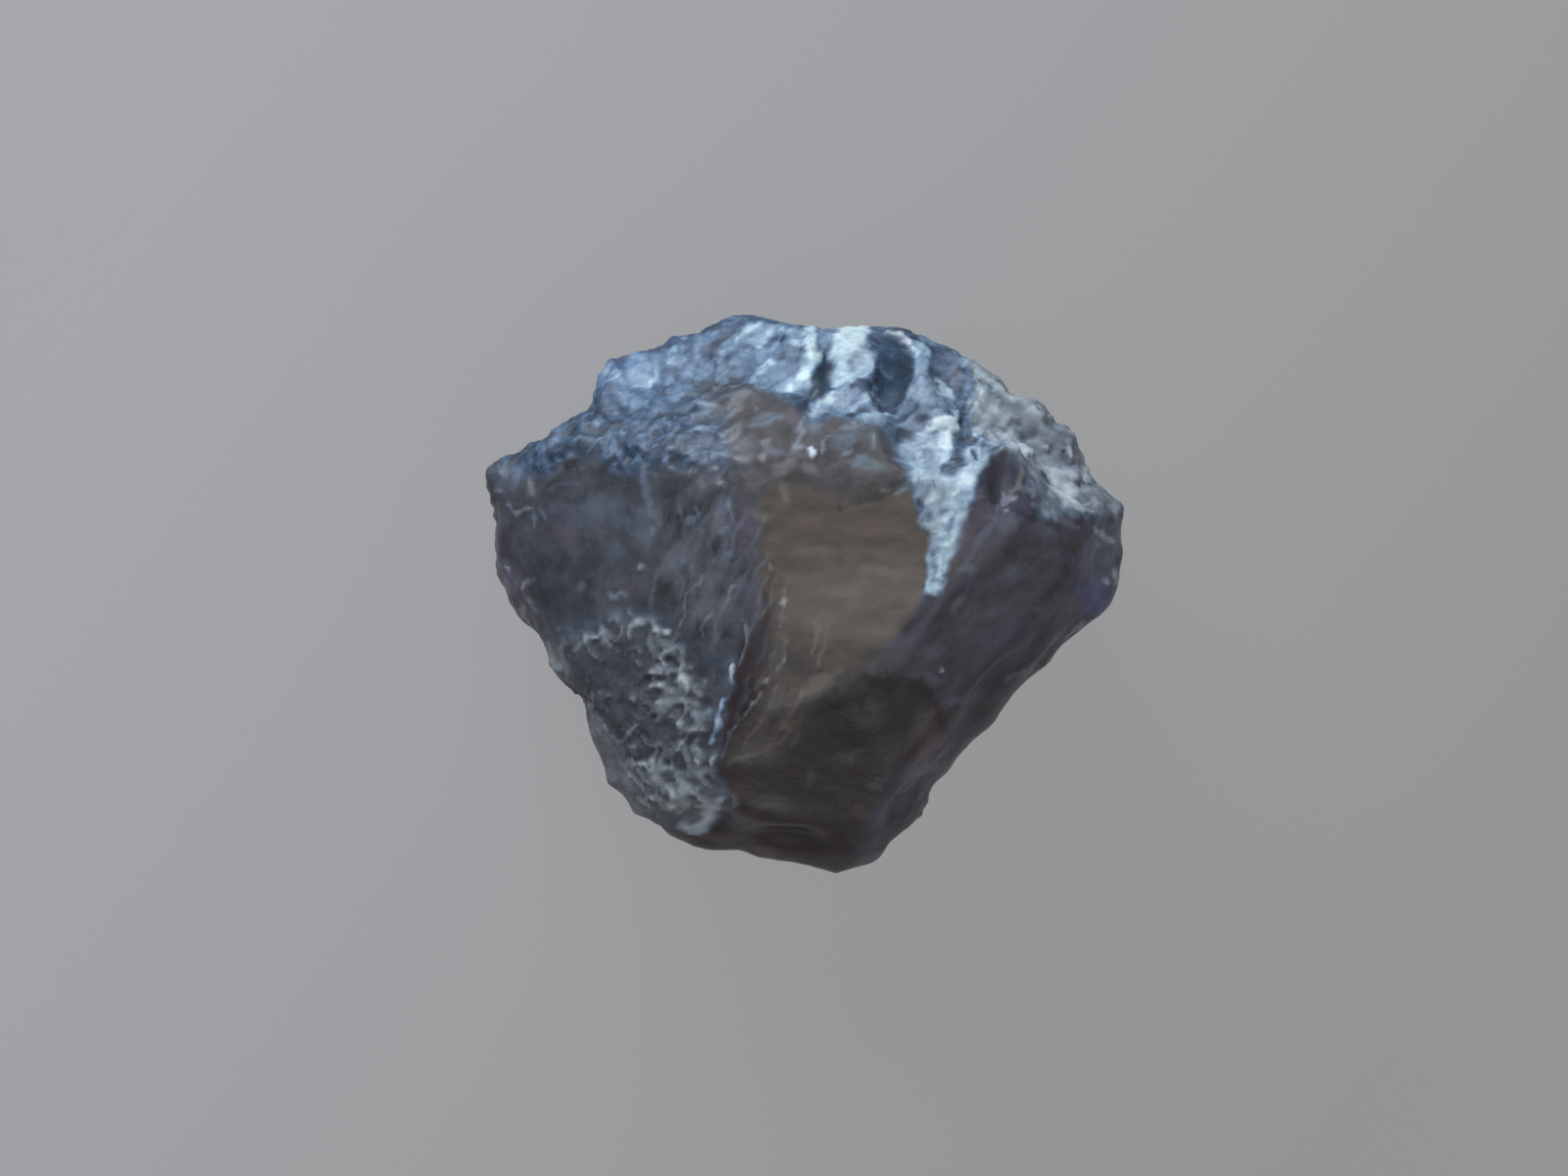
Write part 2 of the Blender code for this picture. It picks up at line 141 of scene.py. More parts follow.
@dataclass(frozen=True)
class Noise:
    """Soft noise: its height, its lumps' size in mm and its finer layers.

    The shift gives another pattern, and the first axis is turned about Z, in degrees.
    """

    height: float
    size: float | tuple[float, float, float]
    octaves: int = 1
    apart: float = 0.0
    turn: float = 0.0

    def at(self, points: np.ndarray) -> np.ndarray:
        """Its value at each point in mm, from about -height to height."""
        across, along = math.sin(math.radians(self.turn)), math.cos(math.radians(self.turn))
        turned = points @ np.array(((along, -across, 0), (across, along, 0), (0, 0, 1)))
        spots = (turned / np.asarray(self.size) + self.apart).tolist()
        values = [noise.fractal(spot, 1.0, 2.0, self.octaves) for spot in spots]
        return self.height * np.array(values)

    def sway(self, points: np.ndarray, aparts: tuple[float, ...]) -> np.ndarray:
        """Independent values side by side, one for each shift."""
        return np.stack([replace(self, apart=apart).at(points) for apart in aparts], axis=1)


def grains(points: np.ndarray, size: float, apart: float = 0.0) -> tuple[np.ndarray, ...]:
    """A packing of grains at points in mm, each with a flat top that leans its own way.

    Args:
        points: One row for each point.
        size: The grains' size in mm.
        apart: A shift that gives another packing.

    Returns:
        For each point its grain's own height from 0 to 1, how far it is from the gap to the
        next grain, from 0 to about 1, and how high the leaning top is there, round 0.
    """
    heights, gaps, leans = [], [], []
    level = Vector((0.5, 0.5, 0.5))
    for spot in (points / size + apart).tolist():
        distances, middles = noise.voronoi(spot)
        heights.append(noise.cell(middles[0] * 5.3))
        gaps.append(distances[1] - distances[0])
        lean = noise.cell_vector(middles[0] * 7.3) - level
        leans.append(lean.dot(Vector(spot) - middles[0]))
    return np.array(heights), np.array(gaps), np.array(leans)


def curve_through(points: Outline, steps: int = 5) -> np.ndarray:
    """A smooth line through the given points, as rows of x and y."""
    spots = np.array(points, float)
    if len(spots) < 3:
        return spots
    padded = np.vstack([2 * spots[0] - spots[1], spots, 2 * spots[-1] - spots[-2]])
    line = []
    for before, start, end, after in zip(padded, padded[1:], padded[2:], padded[3:]):
        for step in range(steps):
            t = step / steps
            bend = 2 * start + (end - before) * t
            bend = bend + (2 * before - 5 * start + 4 * end - after) * t**2
            bend = bend + (3 * start - before - 3 * end + after) * t**3
            line.append(bend / 2)
    line.append(spots[-1])
    return np.array(line)


def distance_to_line(places: np.ndarray, line: np.ndarray) -> tuple[np.ndarray, np.ndarray]:
    """The distance in mm from every place to a line, and how far along the line that is."""
    nearest, along = np.full(len(places), np.inf), np.zeros(len(places))
    for number, (start, end) in enumerate(zip(line, line[1:])):
        way = end - start
        share = np.clip((places - start) @ way / max(way @ way, 1e-9), 0, 1)
        gap = np.hypot(*(places - start - share[:, None] * way).T)
        along = np.where(gap < nearest, (number + share) / (len(line) - 1), along)
        nearest = np.minimum(nearest, gap)
    return nearest, along


def inside_outline(places: np.ndarray, ring: np.ndarray) -> np.ndarray:
    """True for every place inside a closed ring of points."""
    inside = np.zeros(len(places), bool)
    for start, end in zip(ring, np.roll(ring, -1, axis=0)):
        between = (start[1] > places[:, 1]) != (end[1] > places[:, 1])
        rise = end[1] - start[1] or 1e-9
        across = start[0] + (places[:, 1] - start[1]) * (end[0] - start[0]) / rise
        inside ^= between & (places[:, 0] < across)
    return inside


def near_to(places: np.ndarray, spots: np.ndarray, reach: float) -> np.ndarray:
    """True for every place inside the spots' box, widened by the reach."""
    low, high = spots.min(0) - reach, spots.max(0) + reach
    return np.all((places > low) & (places < high), axis=1)


class Mark(Enum):
    """What a place on the stone is like. The finish reads each as an attribute."""

    WINDOW = "window"
    TOE = "toe"
    VIOLET = "violet"
    UMBER = "umber"
    FIBRE = "fibre"
    PITTED = "pitted"
    CRUMBLE = "crumble"
    CRUST = "crust"
    FROST = "frost"
    # How pale bruised crystal is: partly its frosting, partly painted highlights where breaks face
    # the key light and painted shade where they turn away
    GLOW = "glow"
    ASHEN = "ashen"
    WORM = "worm"
    COVER = "cover"
    DULL = "dull"


# The kinds of break: where one is laid, the others give way
KINDS_OF_BREAK = tuple(Mark)[:9]
CLEAN_KINDS = (Mark.WINDOW, Mark.TOE, Mark.VIOLET)
BRUISED_KINDS = (Mark.PITTED, Mark.CRUMBLE, Mark.CRUST, Mark.FROST)


class Tone(Enum):
    """Colours that brushes lay over the stone's own."""

    # A white that is laid mostly as painted highlights on flakes, lips, ridges and edges
    ICE_HIGHLIGHT = "#eef6ff"
    SKY = "#a4c0e6"
    MIST = "#b4bfd0"
    STEEL = "#7e8ca2"
    TEAL = "#6f8a90"
    ASH = "#b2b0ad"
    STRAW = "#a89a8a"
    RUST = "#8a6a62"
    PLUM = "#6a5568"
    INDIGO = "#545aa0"
    # A dark blue that is laid as painted shade in the crown's clefts
    NAVY_SHADE = "#1f3747"
    BLUE = "#6f96cc"
    SHADE = "#101218"


@dataclass(frozen=True)
class Facet:
    """A flat break: a point on it in mm, the way it faces and its tilt in degrees."""

    mark: Mark | None
    x: float
    y: float
    z: float
    faces: float
    tilt: float

    def clearance(self, points: np.ndarray) -> np.ndarray:
        """How far in front of the break each point lies, in mm."""
        way, lean = math.radians(self.faces), math.radians(self.tilt)
        level = math.sin(lean)
        outwards = np.array((level * math.cos(way), level * math.sin(way), math.cos(lean)))
        return (points - (self.x, self.y, self.z)) @ outwards


@dataclass
class Canvas:
    """What the brushes paint: the stone's places, and what is laid on each of them so far."""

    places: np.ndarray
    ragged: np.ndarray
    upper: np.ndarray
    marks: dict[Mark, np.ndarray]
    stain: np.ndarray
    proud: np.ndarray

    @classmethod
    def over(cls, points: np.ndarray, outwards: np.ndarray, marks: dict) -> "Canvas":
        """Spreads a canvas over the stone.

        Args:
            points: One row for each point, in mm.
            outwards: The points' smoothed normals.
            marks: What the flat breaks make of each point.

        Returns:
            The canvas, with nothing painted on it. Its places wander a little, so that no
            border is straight, and only the side that is seen from above takes the brushes.
        """
        shifts = (3.0, 11.0)
        wander = Noise(0.14, 0.8).sway(points, shifts) + Noise(0.09, 0.3).sway(points, shifts)
        ragged = Noise(0.8, 0.5, 2, 31.0).at(points) + Noise(0.4, 0.2, 1, 37.0).at(points)
        return cls(
            places=points[:, :2] + wander,
            ragged=np.clip(ragged, -1, 1),
            upper=smooth_step(outwards[:, 2], -0.35, -0.05),
            marks=marks,
            stain=np.zeros((len(points), 4)),
            proud=np.zeros(len(points)),
        )

    def lay(self, lays: Mark | Tone, level: float, weight: np.ndarray, lift: float = 0.0) -> None:
        """Lays a mark or a tone where the weight says.

        Args:
            lays: The mark or the tone.
            level: How much of it there is where the weight is 1.
            weight: From 0 to 1 for each place.
            lift: How far the surface rises there, in mm.
        """
        weight = weight * self.upper
        self.proud += lift * weight
        if isinstance(lays, Tone):
            share = (level * weight)[:, None]
            self.stain += share * (np.array(linear(lays.value)) - self.stain)
        elif lays in KINDS_OF_BREAK:
            for kind in KINDS_OF_BREAK:
                self.marks[kind] += level * weight * ((kind is lays) - self.marks[kind])
        else:
            self.marks[lays] += weight * (level - self.marks[lays])

    def total(self, kinds: tuple[Mark, ...]) -> np.ndarray:
        """How far the kinds of break cover each place together."""
        return np.clip(sum(self.marks[kind] for kind in kinds), 0, 1)

    def write(self, mesh: bpy.types.Mesh) -> None:
        """Writes the marks and the stain to the mesh's points."""
        marks = self.marks
        marks[Mark.COVER] = self.total(BRUISED_KINDS)
        # The ledges and the pitted corner are greyer than the crown
        marks[Mark.ASHEN] += 0.85 * marks[Mark.CRUST] + marks[Mark.PITTED]
        for mark, values in marks.items():
            attribute = mesh.attributes.new(mark.value, "FLOAT", "POINT")
            attribute.data.foreach_set("value", np.clip(values, 0, 1).astype(np.float32))
        strength = np.maximum(self.stain[:, 3:], 1e-4)
        stain = np.hstack([self.stain[:, :3] / strength, self.stain[:, 3:]])
        attribute = mesh.attributes.new(STAIN, "FLOAT_COLOR", "POINT")
        attribute.data.foreach_set("color", stain.astype(np.float32).ravel())


@dataclass(frozen=True)
class Brush:
    """One touch on the upper side: the mark or tone that it lays, and how much of it.

    Each kind of brush adds where it lies and how far it raises the surface.
    """

    lays: Mark | Tone
    level: float

    @classmethod
    def each(cls, lays: Mark | Tone, *rows: tuple) -> tuple["Brush", ...]:
        """Touches that lay the same, each row with a touch's level and its own values."""
        return tuple(cls(lays, *row) for row in rows)

    def paint(self, canvas: Canvas) -> None:
        """Lays the touch on the canvas."""
        weight = self.weight(canvas.places, canvas.ragged)
        canvas.lay(self.lays, self.level, weight, self.lift)


@dataclass(frozen=True)
class Patch(Brush):
    """A patch: its soft rim, its outline and how far it is raised, in mm."""

    rim: float
    outline: Outline
    lift: float = 0.0

    def weight(self, places: np.ndarray, ragged: np.ndarray) -> np.ndarray:
        """1 inside the patch and 0 outside it, with a soft, ragged rim."""
        ring = np.array(self.outline, float)
        near = near_to(places, ring, 3 * self.rim)
        gap = distance_to_line(places[near], np.vstack([ring, ring[:1]]))[0]
        gap[inside_outline(places[near], ring)] *= -1
        weight = np.zeros(len(places))
        weight[near] = smooth_step(0.7 * self.rim * ragged[near] - gap, -self.rim, self.rim)
        return weight


@dataclass(frozen=True)
class Stroke(Brush):
    """A line: its half width, how far it is raised and its points, in mm."""

    width: float
    lift: float
    points: Outline

    def weight(self, places: np.ndarray, ragged: np.ndarray) -> np.ndarray:
        """1 on the line and 0 away from it, with soft, uneven edges and thin ends."""
        line = curve_through(self.points)
        near = near_to(places, line, 2 * self.width)
        gap, along = distance_to_line(places[near], line)
        uneven = 0.9 + 0.9 * ragged[near]
        width = self.width * uneven * (0.5 + 0.5 * np.sin(math.pi * along))
        weight = np.zeros(len(places))
        weight[near] = 1 - smooth_step(gap / np.maximum(width, 0.03), 0.1, 1.1)
        return weight * np.clip(0.8 + 0.5 * ragged, 0.3, 1)


@dataclass(frozen=True)
class Oval:
    """An oval: its middle, half length and half width in mm, and its turn in degrees."""

    x: float
    y: float
    long: float
    wide: float
    turn: float = 0.0

    def inwards(self, places: np.ndarray) -> tuple[np.ndarray, np.ndarray]:
        """How far along and aside each place lies, both 1 at the oval's ends."""
        way = math.radians(self.turn)
        away = places - (self.x, self.y)
        along = (away[:, 0] * math.cos(way) + away[:, 1] * math.sin(way)) / self.long
        aside = (away[:, 1] * math.cos(way) - away[:, 0] * math.sin(way)) / self.wide
        return along, aside


@dataclass(frozen=True)
class Blob(Oval, Brush):
    """A soft oval, and how far it is raised, in mm."""

    lift: float = 0.0

    def weight(self, places: np.ndarray, ragged: np.ndarray) -> np.ndarray:
        """1 in the middle and 0 well outside, with an uneven edge."""
        return 1 - smooth_step(np.hypot(*self.inwards(places)) - 0.45 * ragged, 0.35, 1.25)


@dataclass(frozen=True)
class Swell:
    """A smooth bulge of the flank: its middle, its reach and how far it is raised, in mm."""

    x: float
    y: float
    reach: float
    lift: float

    def paint(self, canvas: Canvas) -> None:
        """Raises the flank without a rim."""
        away = np.linalg.norm(canvas.places - (self.x, self.y), axis=1)
        canvas.proud += self.lift * bell(away, 0, self.reach) * canvas.upper


@dataclass(frozen=True)
class Scale(Oval):
    """A shell-like chip with a painted highlight on the lip that faces the way it turns, and its
    levels.
    """

    level: float = 0.5
    lip: float = 0.8
    depth: float = 0.08

    def paint(self, canvas: Canvas) -> None:
        """Scoops the chip, paints a highlight on its lip and a thin painted shadow on the line
        below the lip.
        """
        along, aside = self.inwards(canvas.places)
        round_it = np.hypot(along, aside) - 0.12 * canvas.ragged
        ahead = np.clip(along / np.maximum(round_it, 0.2) * 0.8 + 0.35, 0, 1)
        inside = 1 - smooth_step(round_it, 0.75, 1.0)
        canvas.lay(Mark.GLOW, self.level, 0.8 * inside, -self.depth)
        # Painted highlight on the lip, then painted shadow just below it
        canvas.lay(Mark.GLOW, self.lip, bell(round_it, 0.88, 0.14) * ahead, 0.4 * self.depth)
        below = bell(round_it, 1.22, 0.12) * ahead
        canvas.lay(Mark.GLOW, max(self.level - 0.3, 0.05), 0.6 * below)


# The flat breaks, those of the upper side first
FACETS = (
    Facet(Mark.WINDOW, 1.2, 0.5, 12.0, 285, 2),
    Facet(None, -2.1, 0.3, 11.9, 179, 31),
    Facet(None, -11.2, 3.5, 6.3, 160, 52),
    Facet(None, -8.3, -3.6, 7.8, 208, 58),
    Facet(Mark.PITTED, -5.0, -3.0, 10.1, 201, 34),
    Facet(Mark.PITTED, -6.5, -8.3, 7.6, 226, 60),
    Facet(Mark.TOE, 0.9, -3.9, 11.7, 284, 38),
    Facet(Mark.TOE, 0.0, -9.6, 7.1, 262, 62),
    Facet(Mark.VIOLET, 2.65, -3.11, 11.6, 317, 40),
    Facet(Mark.VIOLET, 7.2, -3.7, 7.5, 318, 64),
    Facet(Mark.VIOLET, 11.3, 1.6, 7.5, 350, 60),
    Facet(Mark.CRUST, 8.0, 4.1, 10.9, 47, 50),
    Facet(Mark.FROST, 1.0, 5.5, 11.6, 76, 45),
    Facet(Mark.FROST, -3.5, 7.6, 9.6, 99, 52),
    Facet(Mark.CRUMBLE, -8.0, 5.9, 8.4, 112, 50),
    Facet(None, -7.2, 0.4, -0.2, 176, 143),
    Facet(None, -6.4, 4.2, -0.2, 143, 138),
    Facet(None, -4.6, -5.2, -0.2, 222, 134),
    Facet(None, 0.2, -6.9, -0.2, 275, 137),
    Facet(None, 4.6, -3.4, -0.2, 318, 127),
    Facet(None, 8.3, 1.4, -0.2, 3, 132),
    Facet(None, 6.2, 4.6, -0.2, 48, 138),
    Facet(None, 0.3, 6.7, -0.2, 88, 136),
)

# Kinds of break, broad ones first, because a later brush lies over an earlier one
KINDS = (
    Patch(Mark.CRUMBLE, 1.0, 0.35, ((-12.4, 5.3), (-11.3, 4.6), (-10.3, 4.6), (-9.7, 4.9),
        (-9.2, 5.3), (-8.5, 5.4), (-7.7, 5.1), (-7.3, 4.6), (-6.4, 4.6), (-5.4, 4.8), (-4.6, 4.7),
        (-3.4, 5.0), (-2.6, 5.6), (-2.7, 7.0), (-3.9, 7.3), (-6.2, 7.7), (-8.4, 7.7),
        (-12.8, 6.8))),
    Patch(Mark.WINDOW, 1.0, 0.3, ((-1.9, 3.8), (-1.2, 4.3), (0.2, 4.2), (1.4, 3.9), (1.8, 3.5),
        (4.1, 3.9), (4.2, 2.0), (-1.6, 1.5))),
    Patch(Mark.UMBER, 1.0, 0.35, ((-2.9, 7.8), (-1.3, 7.9), (0.0, 7.0), (2.6, 6.5), (3.9, 5.9),
        (4.0, 4.2), (3.0, 3.9), (1.6, 3.6), (0.2, 4.3), (-1.2, 4.3), (-2.6, 3.4), (-3.1, 5.5))),
    Patch(Mark.PITTED, 1.0, 0.4, ((-10.9, -1.7), (-8.6, -1.2), (-6.5, -0.7), (-5.2, -0.9),
        (-4.4, -1.8), (-3.6, -2.6), (-3.1, -3.8), (-3.0, -5.4), (-2.9, -6.6), (-2.9, -8.3),
        (-3.6, -9.2), (-5.2, -9.2), (-6.4, -10.0), (-8.9, -8.0), (-9.9, -5.0), (-10.9, -3.2))),
    Patch(Mark.FIBRE, 1.0, 0.6, ((-5.9, 4.4), (-2.8, 4.6), (-2.4, -1.0), (-3.4, -2.4),
        (-5.0, -1.5), (-5.9, 0.5))),
    Patch(Mark.VIOLET, 1.0, 0.3, ((6.0, 4.0), (7.6, 6.0), (9.0, 4.0), (8.9, 2.0), (6.0, -1.0),
        (5.2, 0.0), (6.2, 2.3))),
    *Patch.each(Mark.TOE,
        (1.0, 0.25, ((2.4, -3.2), (3.4, -3.0), (4.4, -3.3), (5.1, -4.0), (5.7, -4.7), (5.5, -5.4),
            (4.4, -6.4), (2.0, -6.8))),
        (1.0, 0.3, ((-1.7, 0.4), (-2.3, -0.4), (-2.4, -1.3), (-2.6, -2.2), (-2.8, -2.8),
            (-2.9, -3.6), (-3.1, -4.1), (-3.3, -4.9), (-3.4, -5.9), (-3.6, -6.8), (-3.0, -7.4),
            (-2.7, -8.2), (-3.2, -8.7), (-4.4, -9.4), (-5.8, -9.3), (-4.6, -11.0), (-1.0, -11.0),
            (-0.4, -6.4), (-0.8, -4.5), (-1.1, -3.0), (-1.2, -1.5), (-1.3, 0.0))),
        (1.0, 0.4, ((4.4, -2.9), (3.2, -2.9), (2.3, -3.1), (1.3, -3.5), (0.5, -4.1), (-0.1, -5.0),
            (-0.2, -6.4), (2.0, -6.8), (4.8, -4.4))),
    ),
    Patch(Mark.WINDOW, 0.6, 0.5, ((-3.1, -6.4), (-2.3, -5.0), (-1.6, -3.9), (-1.2, -2.6),
        (-1.0, -1.2), (0.6, -2.0), (0.8, -3.4), (0.2, -4.3), (-0.3, -5.4), (-1.2, -6.4))),
    Patch(Mark.VIOLET, 1.0, 0.12, ((4.6, 0.2), (4.25, -0.5), (3.8, -1.2), (3.35, -1.9),
        (2.9, -2.6), (2.7, -3.0), (4.0, -3.1), (5.2, -3.6), (6.0, -2.0), (5.4, -0.2))),
    Patch(Mark.CRUST, 1.0, 0.3, ((6.2, 9.5), (7.0, 9.3), (8.0, 8.3), (9.7, 7.6), (11.0, 6.0),
        (11.4, 4.9), (12.6, 4.1), (12.8, 3.1), (11.6, 3.0), (10.3, 3.3), (9.3, 4.0), (9.0, 5.3),
        (8.0, 5.6), (7.2, 6.0), (6.4, 6.3), (6.1, 7.4), (6.6, 8.2), (6.1, 9.0))),
    Patch(Mark.FROST, 1.0, 0.15, ((-9.2, 10.4), (-8.6, 7.3), (-6.0, 7.2), (-4.0, 6.9),
        (-2.4, 7.9), (-0.6, 7.6), (-0.1, 6.7), (0.6, 6.6), (1.4, 6.9), (3.3, 6.5), (3.4, 5.2),
        (4.1, 4.3), (4.1, 3.4), (4.4, 2.8), (4.8, 2.3), (4.5, 0.0), (5.1, -0.1), (5.6, 1.4),
        (6.0, 2.3), (6.4, 3.6), (6.6, 4.4), (7.1, 5.2), (7.0, 5.9), (6.4, 6.3), (6.1, 7.4),
        (6.6, 8.2), (6.2, 9.3), (6.2, 10.4), (-3.0, 11.8))),
)

# The crumbled left end of the crown, with its loose crumbs; the white fleck, the chip's lip and
# the brightest stroke are painted highlights, and the sunken dark stroke is painted shade
CROWN_LEFT = (
    *Patch.each(Mark.GLOW,
        (0.37, 0.5, ((-9.4, 10.2), (-3.6, 11.6), (-2.4, 8.4), (-4.0, 7.2), (-9.0, 6.9))),
        (0.24, 0.3, ((-4.2, 8.3), (-2.6, 8.6), (-1.8, 7.9), (-2.2, 7.0), (-4.0, 6.9))),
        (0.36, 0.2, ((-4.6, 11.2), (-3.4, 10.1), (-2.2, 9.9), (-0.6, 10.3), (-0.4, 11.2),
            (-2.5, 11.7))),
    ),
    Patch(Mark.ASHEN, 0.8, 0.4, ((-4.2, 8.1), (-2.6, 8.4), (-1.6, 7.9), (-2.2, 6.8),
        (-4.0, 6.7))),
    *Blob.each(Mark.GLOW,
        (0.28, -7.3, 9.0, 0.5, 0.3, 10), (0.6, -7.3, 8.4, 0.35, 0.3),
        (0.24, -6.0, 9.6, 0.35, 0.2, 20), (0.58, -5.25, 9.4, 0.5, 0.2, 80),
        (0.24, -4.6, 9.5, 0.4, 0.22, 90), (0.56, -4.2, 9.6, 0.7, 0.2, 88),
        (0.22, -3.6, 9.5, 0.4, 0.22, 80), (0.2, -5.2, 8.5, 0.5, 0.15, -30),
        (0.26, -5.6, 8.0, 0.5, 0.25), (0.52, -4.5, 8.7, 0.4, 0.2, 60),
        (0.66, -5.3, 7.2, 0.32, 0.14), (0.64, -6.05, 7.6, 0.17, 0.17),
        (0.58, -8.1, 7.5, 0.2, 0.16), (0.58, -4.55, 7.3, 0.12, 0.28), (0.52, -7.4, 7.7, 0.3, 0.2),
    ),
    Blob(Tone.ICE_HIGHLIGHT, 0.5, -7.95, 8.8, 0.18, 0.2),
    Blob(Tone.BLUE, 0.16, -6.6, 8.8, 2.6, 1.5, 10),
    Scale(-6.5, 8.75, 0.85, 0.66, -45, 0.62, 0.9, 0.16),
    *Stroke.each(Mark.GLOW,
        (0.56, 0.2, 0.03, ((-3.5, 9.0), (-2.9, 9.5), (-2.4, 9.9))),
        (1.0, 0.26, 0.05, ((-2.7, 9.9), (-2.3, 10.2), (-1.8, 10.6))),
    ),
    Stroke(Tone.SHADE, 0.6, 0.12, -0.05, ((-3.6, 8.6), (-3.1, 8.45), (-2.5, 8.5))),
)

# The round hollow beside it, with a painted highlight on its lip and painted shade in the dark
# cleft along the lip
BOWL = (
    Patch(Mark.GLOW, 0.5, 0.2, ((-2.6, 10.1), (-0.6, 10.5), (0.3, 10.4), (0.5, 9.0), (0.2, 8.1),
        (-0.7, 7.7), (-1.9, 8.0), (-2.8, 8.9))),
    *Blob.each(Mark.GLOW,
        (0.56, -2.6, 9.25, 0.4, 0.4), (0.14, -1.3, 9.8, 0.55, 0.15, 25),
        (0.2, -0.95, 9.3, 0.35, 0.14, 35), (0.5, -0.5, 9.3, 0.35, 0.3),
        (0.64, -0.5, 9.8, 0.18, 0.2), (0.66, -0.7, 10.3, 0.35, 0.14),
        (0.56, -0.7, 8.6, 0.6, 0.35, 20), (0.9, -1.5, 8.9, 0.3, 0.2, 40, 0.05),
        (0.66, -1.9, 8.45, 0.4, 0.2, 30, 0.05), (0.78, -1.5, 10.2, 0.22, 0.16, 30, 0.04),
        (0.82, -1.86, 9.6, 0.16, 0.12, 0, 0.04),
    ),
    *Patch.each(Mark.GLOW,
        (0.95, 0.16, ((-0.1, 10.4), (0.4, 10.4), (0.4, 9.9), (0.4, 9.7), (0.65, 9.4), (0.55, 8.9),
            (0.3, 8.5), (-0.1, 8.2), (-0.8, 7.9), (-0.8, 8.1), (-0.2, 8.5), (0.05, 9.0),
            (0.0, 9.6)), 0.08),
        (0.6, 0.15, ((0.4, 10.6), (1.2, 10.6), (1.0, 9.9), (0.7, 9.5), (0.45, 9.8))),
    ),
    Blob(Mark.GLOW, 0.72, -0.5, 8.1, 0.5, 0.16, 25),
    Patch(Mark.GLOW, 0.16, 0.12, ((0.7, 9.35), (0.95, 9.0), (1.0, 8.5), (0.9, 8.0), (0.7, 7.6),
        (0.1, 7.3), (-0.1, 7.9), (0.2, 8.2), (0.5, 8.6), (0.65, 9.0)), -0.1),
    Patch(Tone.NAVY_SHADE, 0.7, 0.2, ((0.75, 9.2), (0.95, 8.8), (0.9, 8.0), (0.7, 7.6), (0.2, 7.5),
        (0.1, 7.9), (0.5, 8.4))),
)
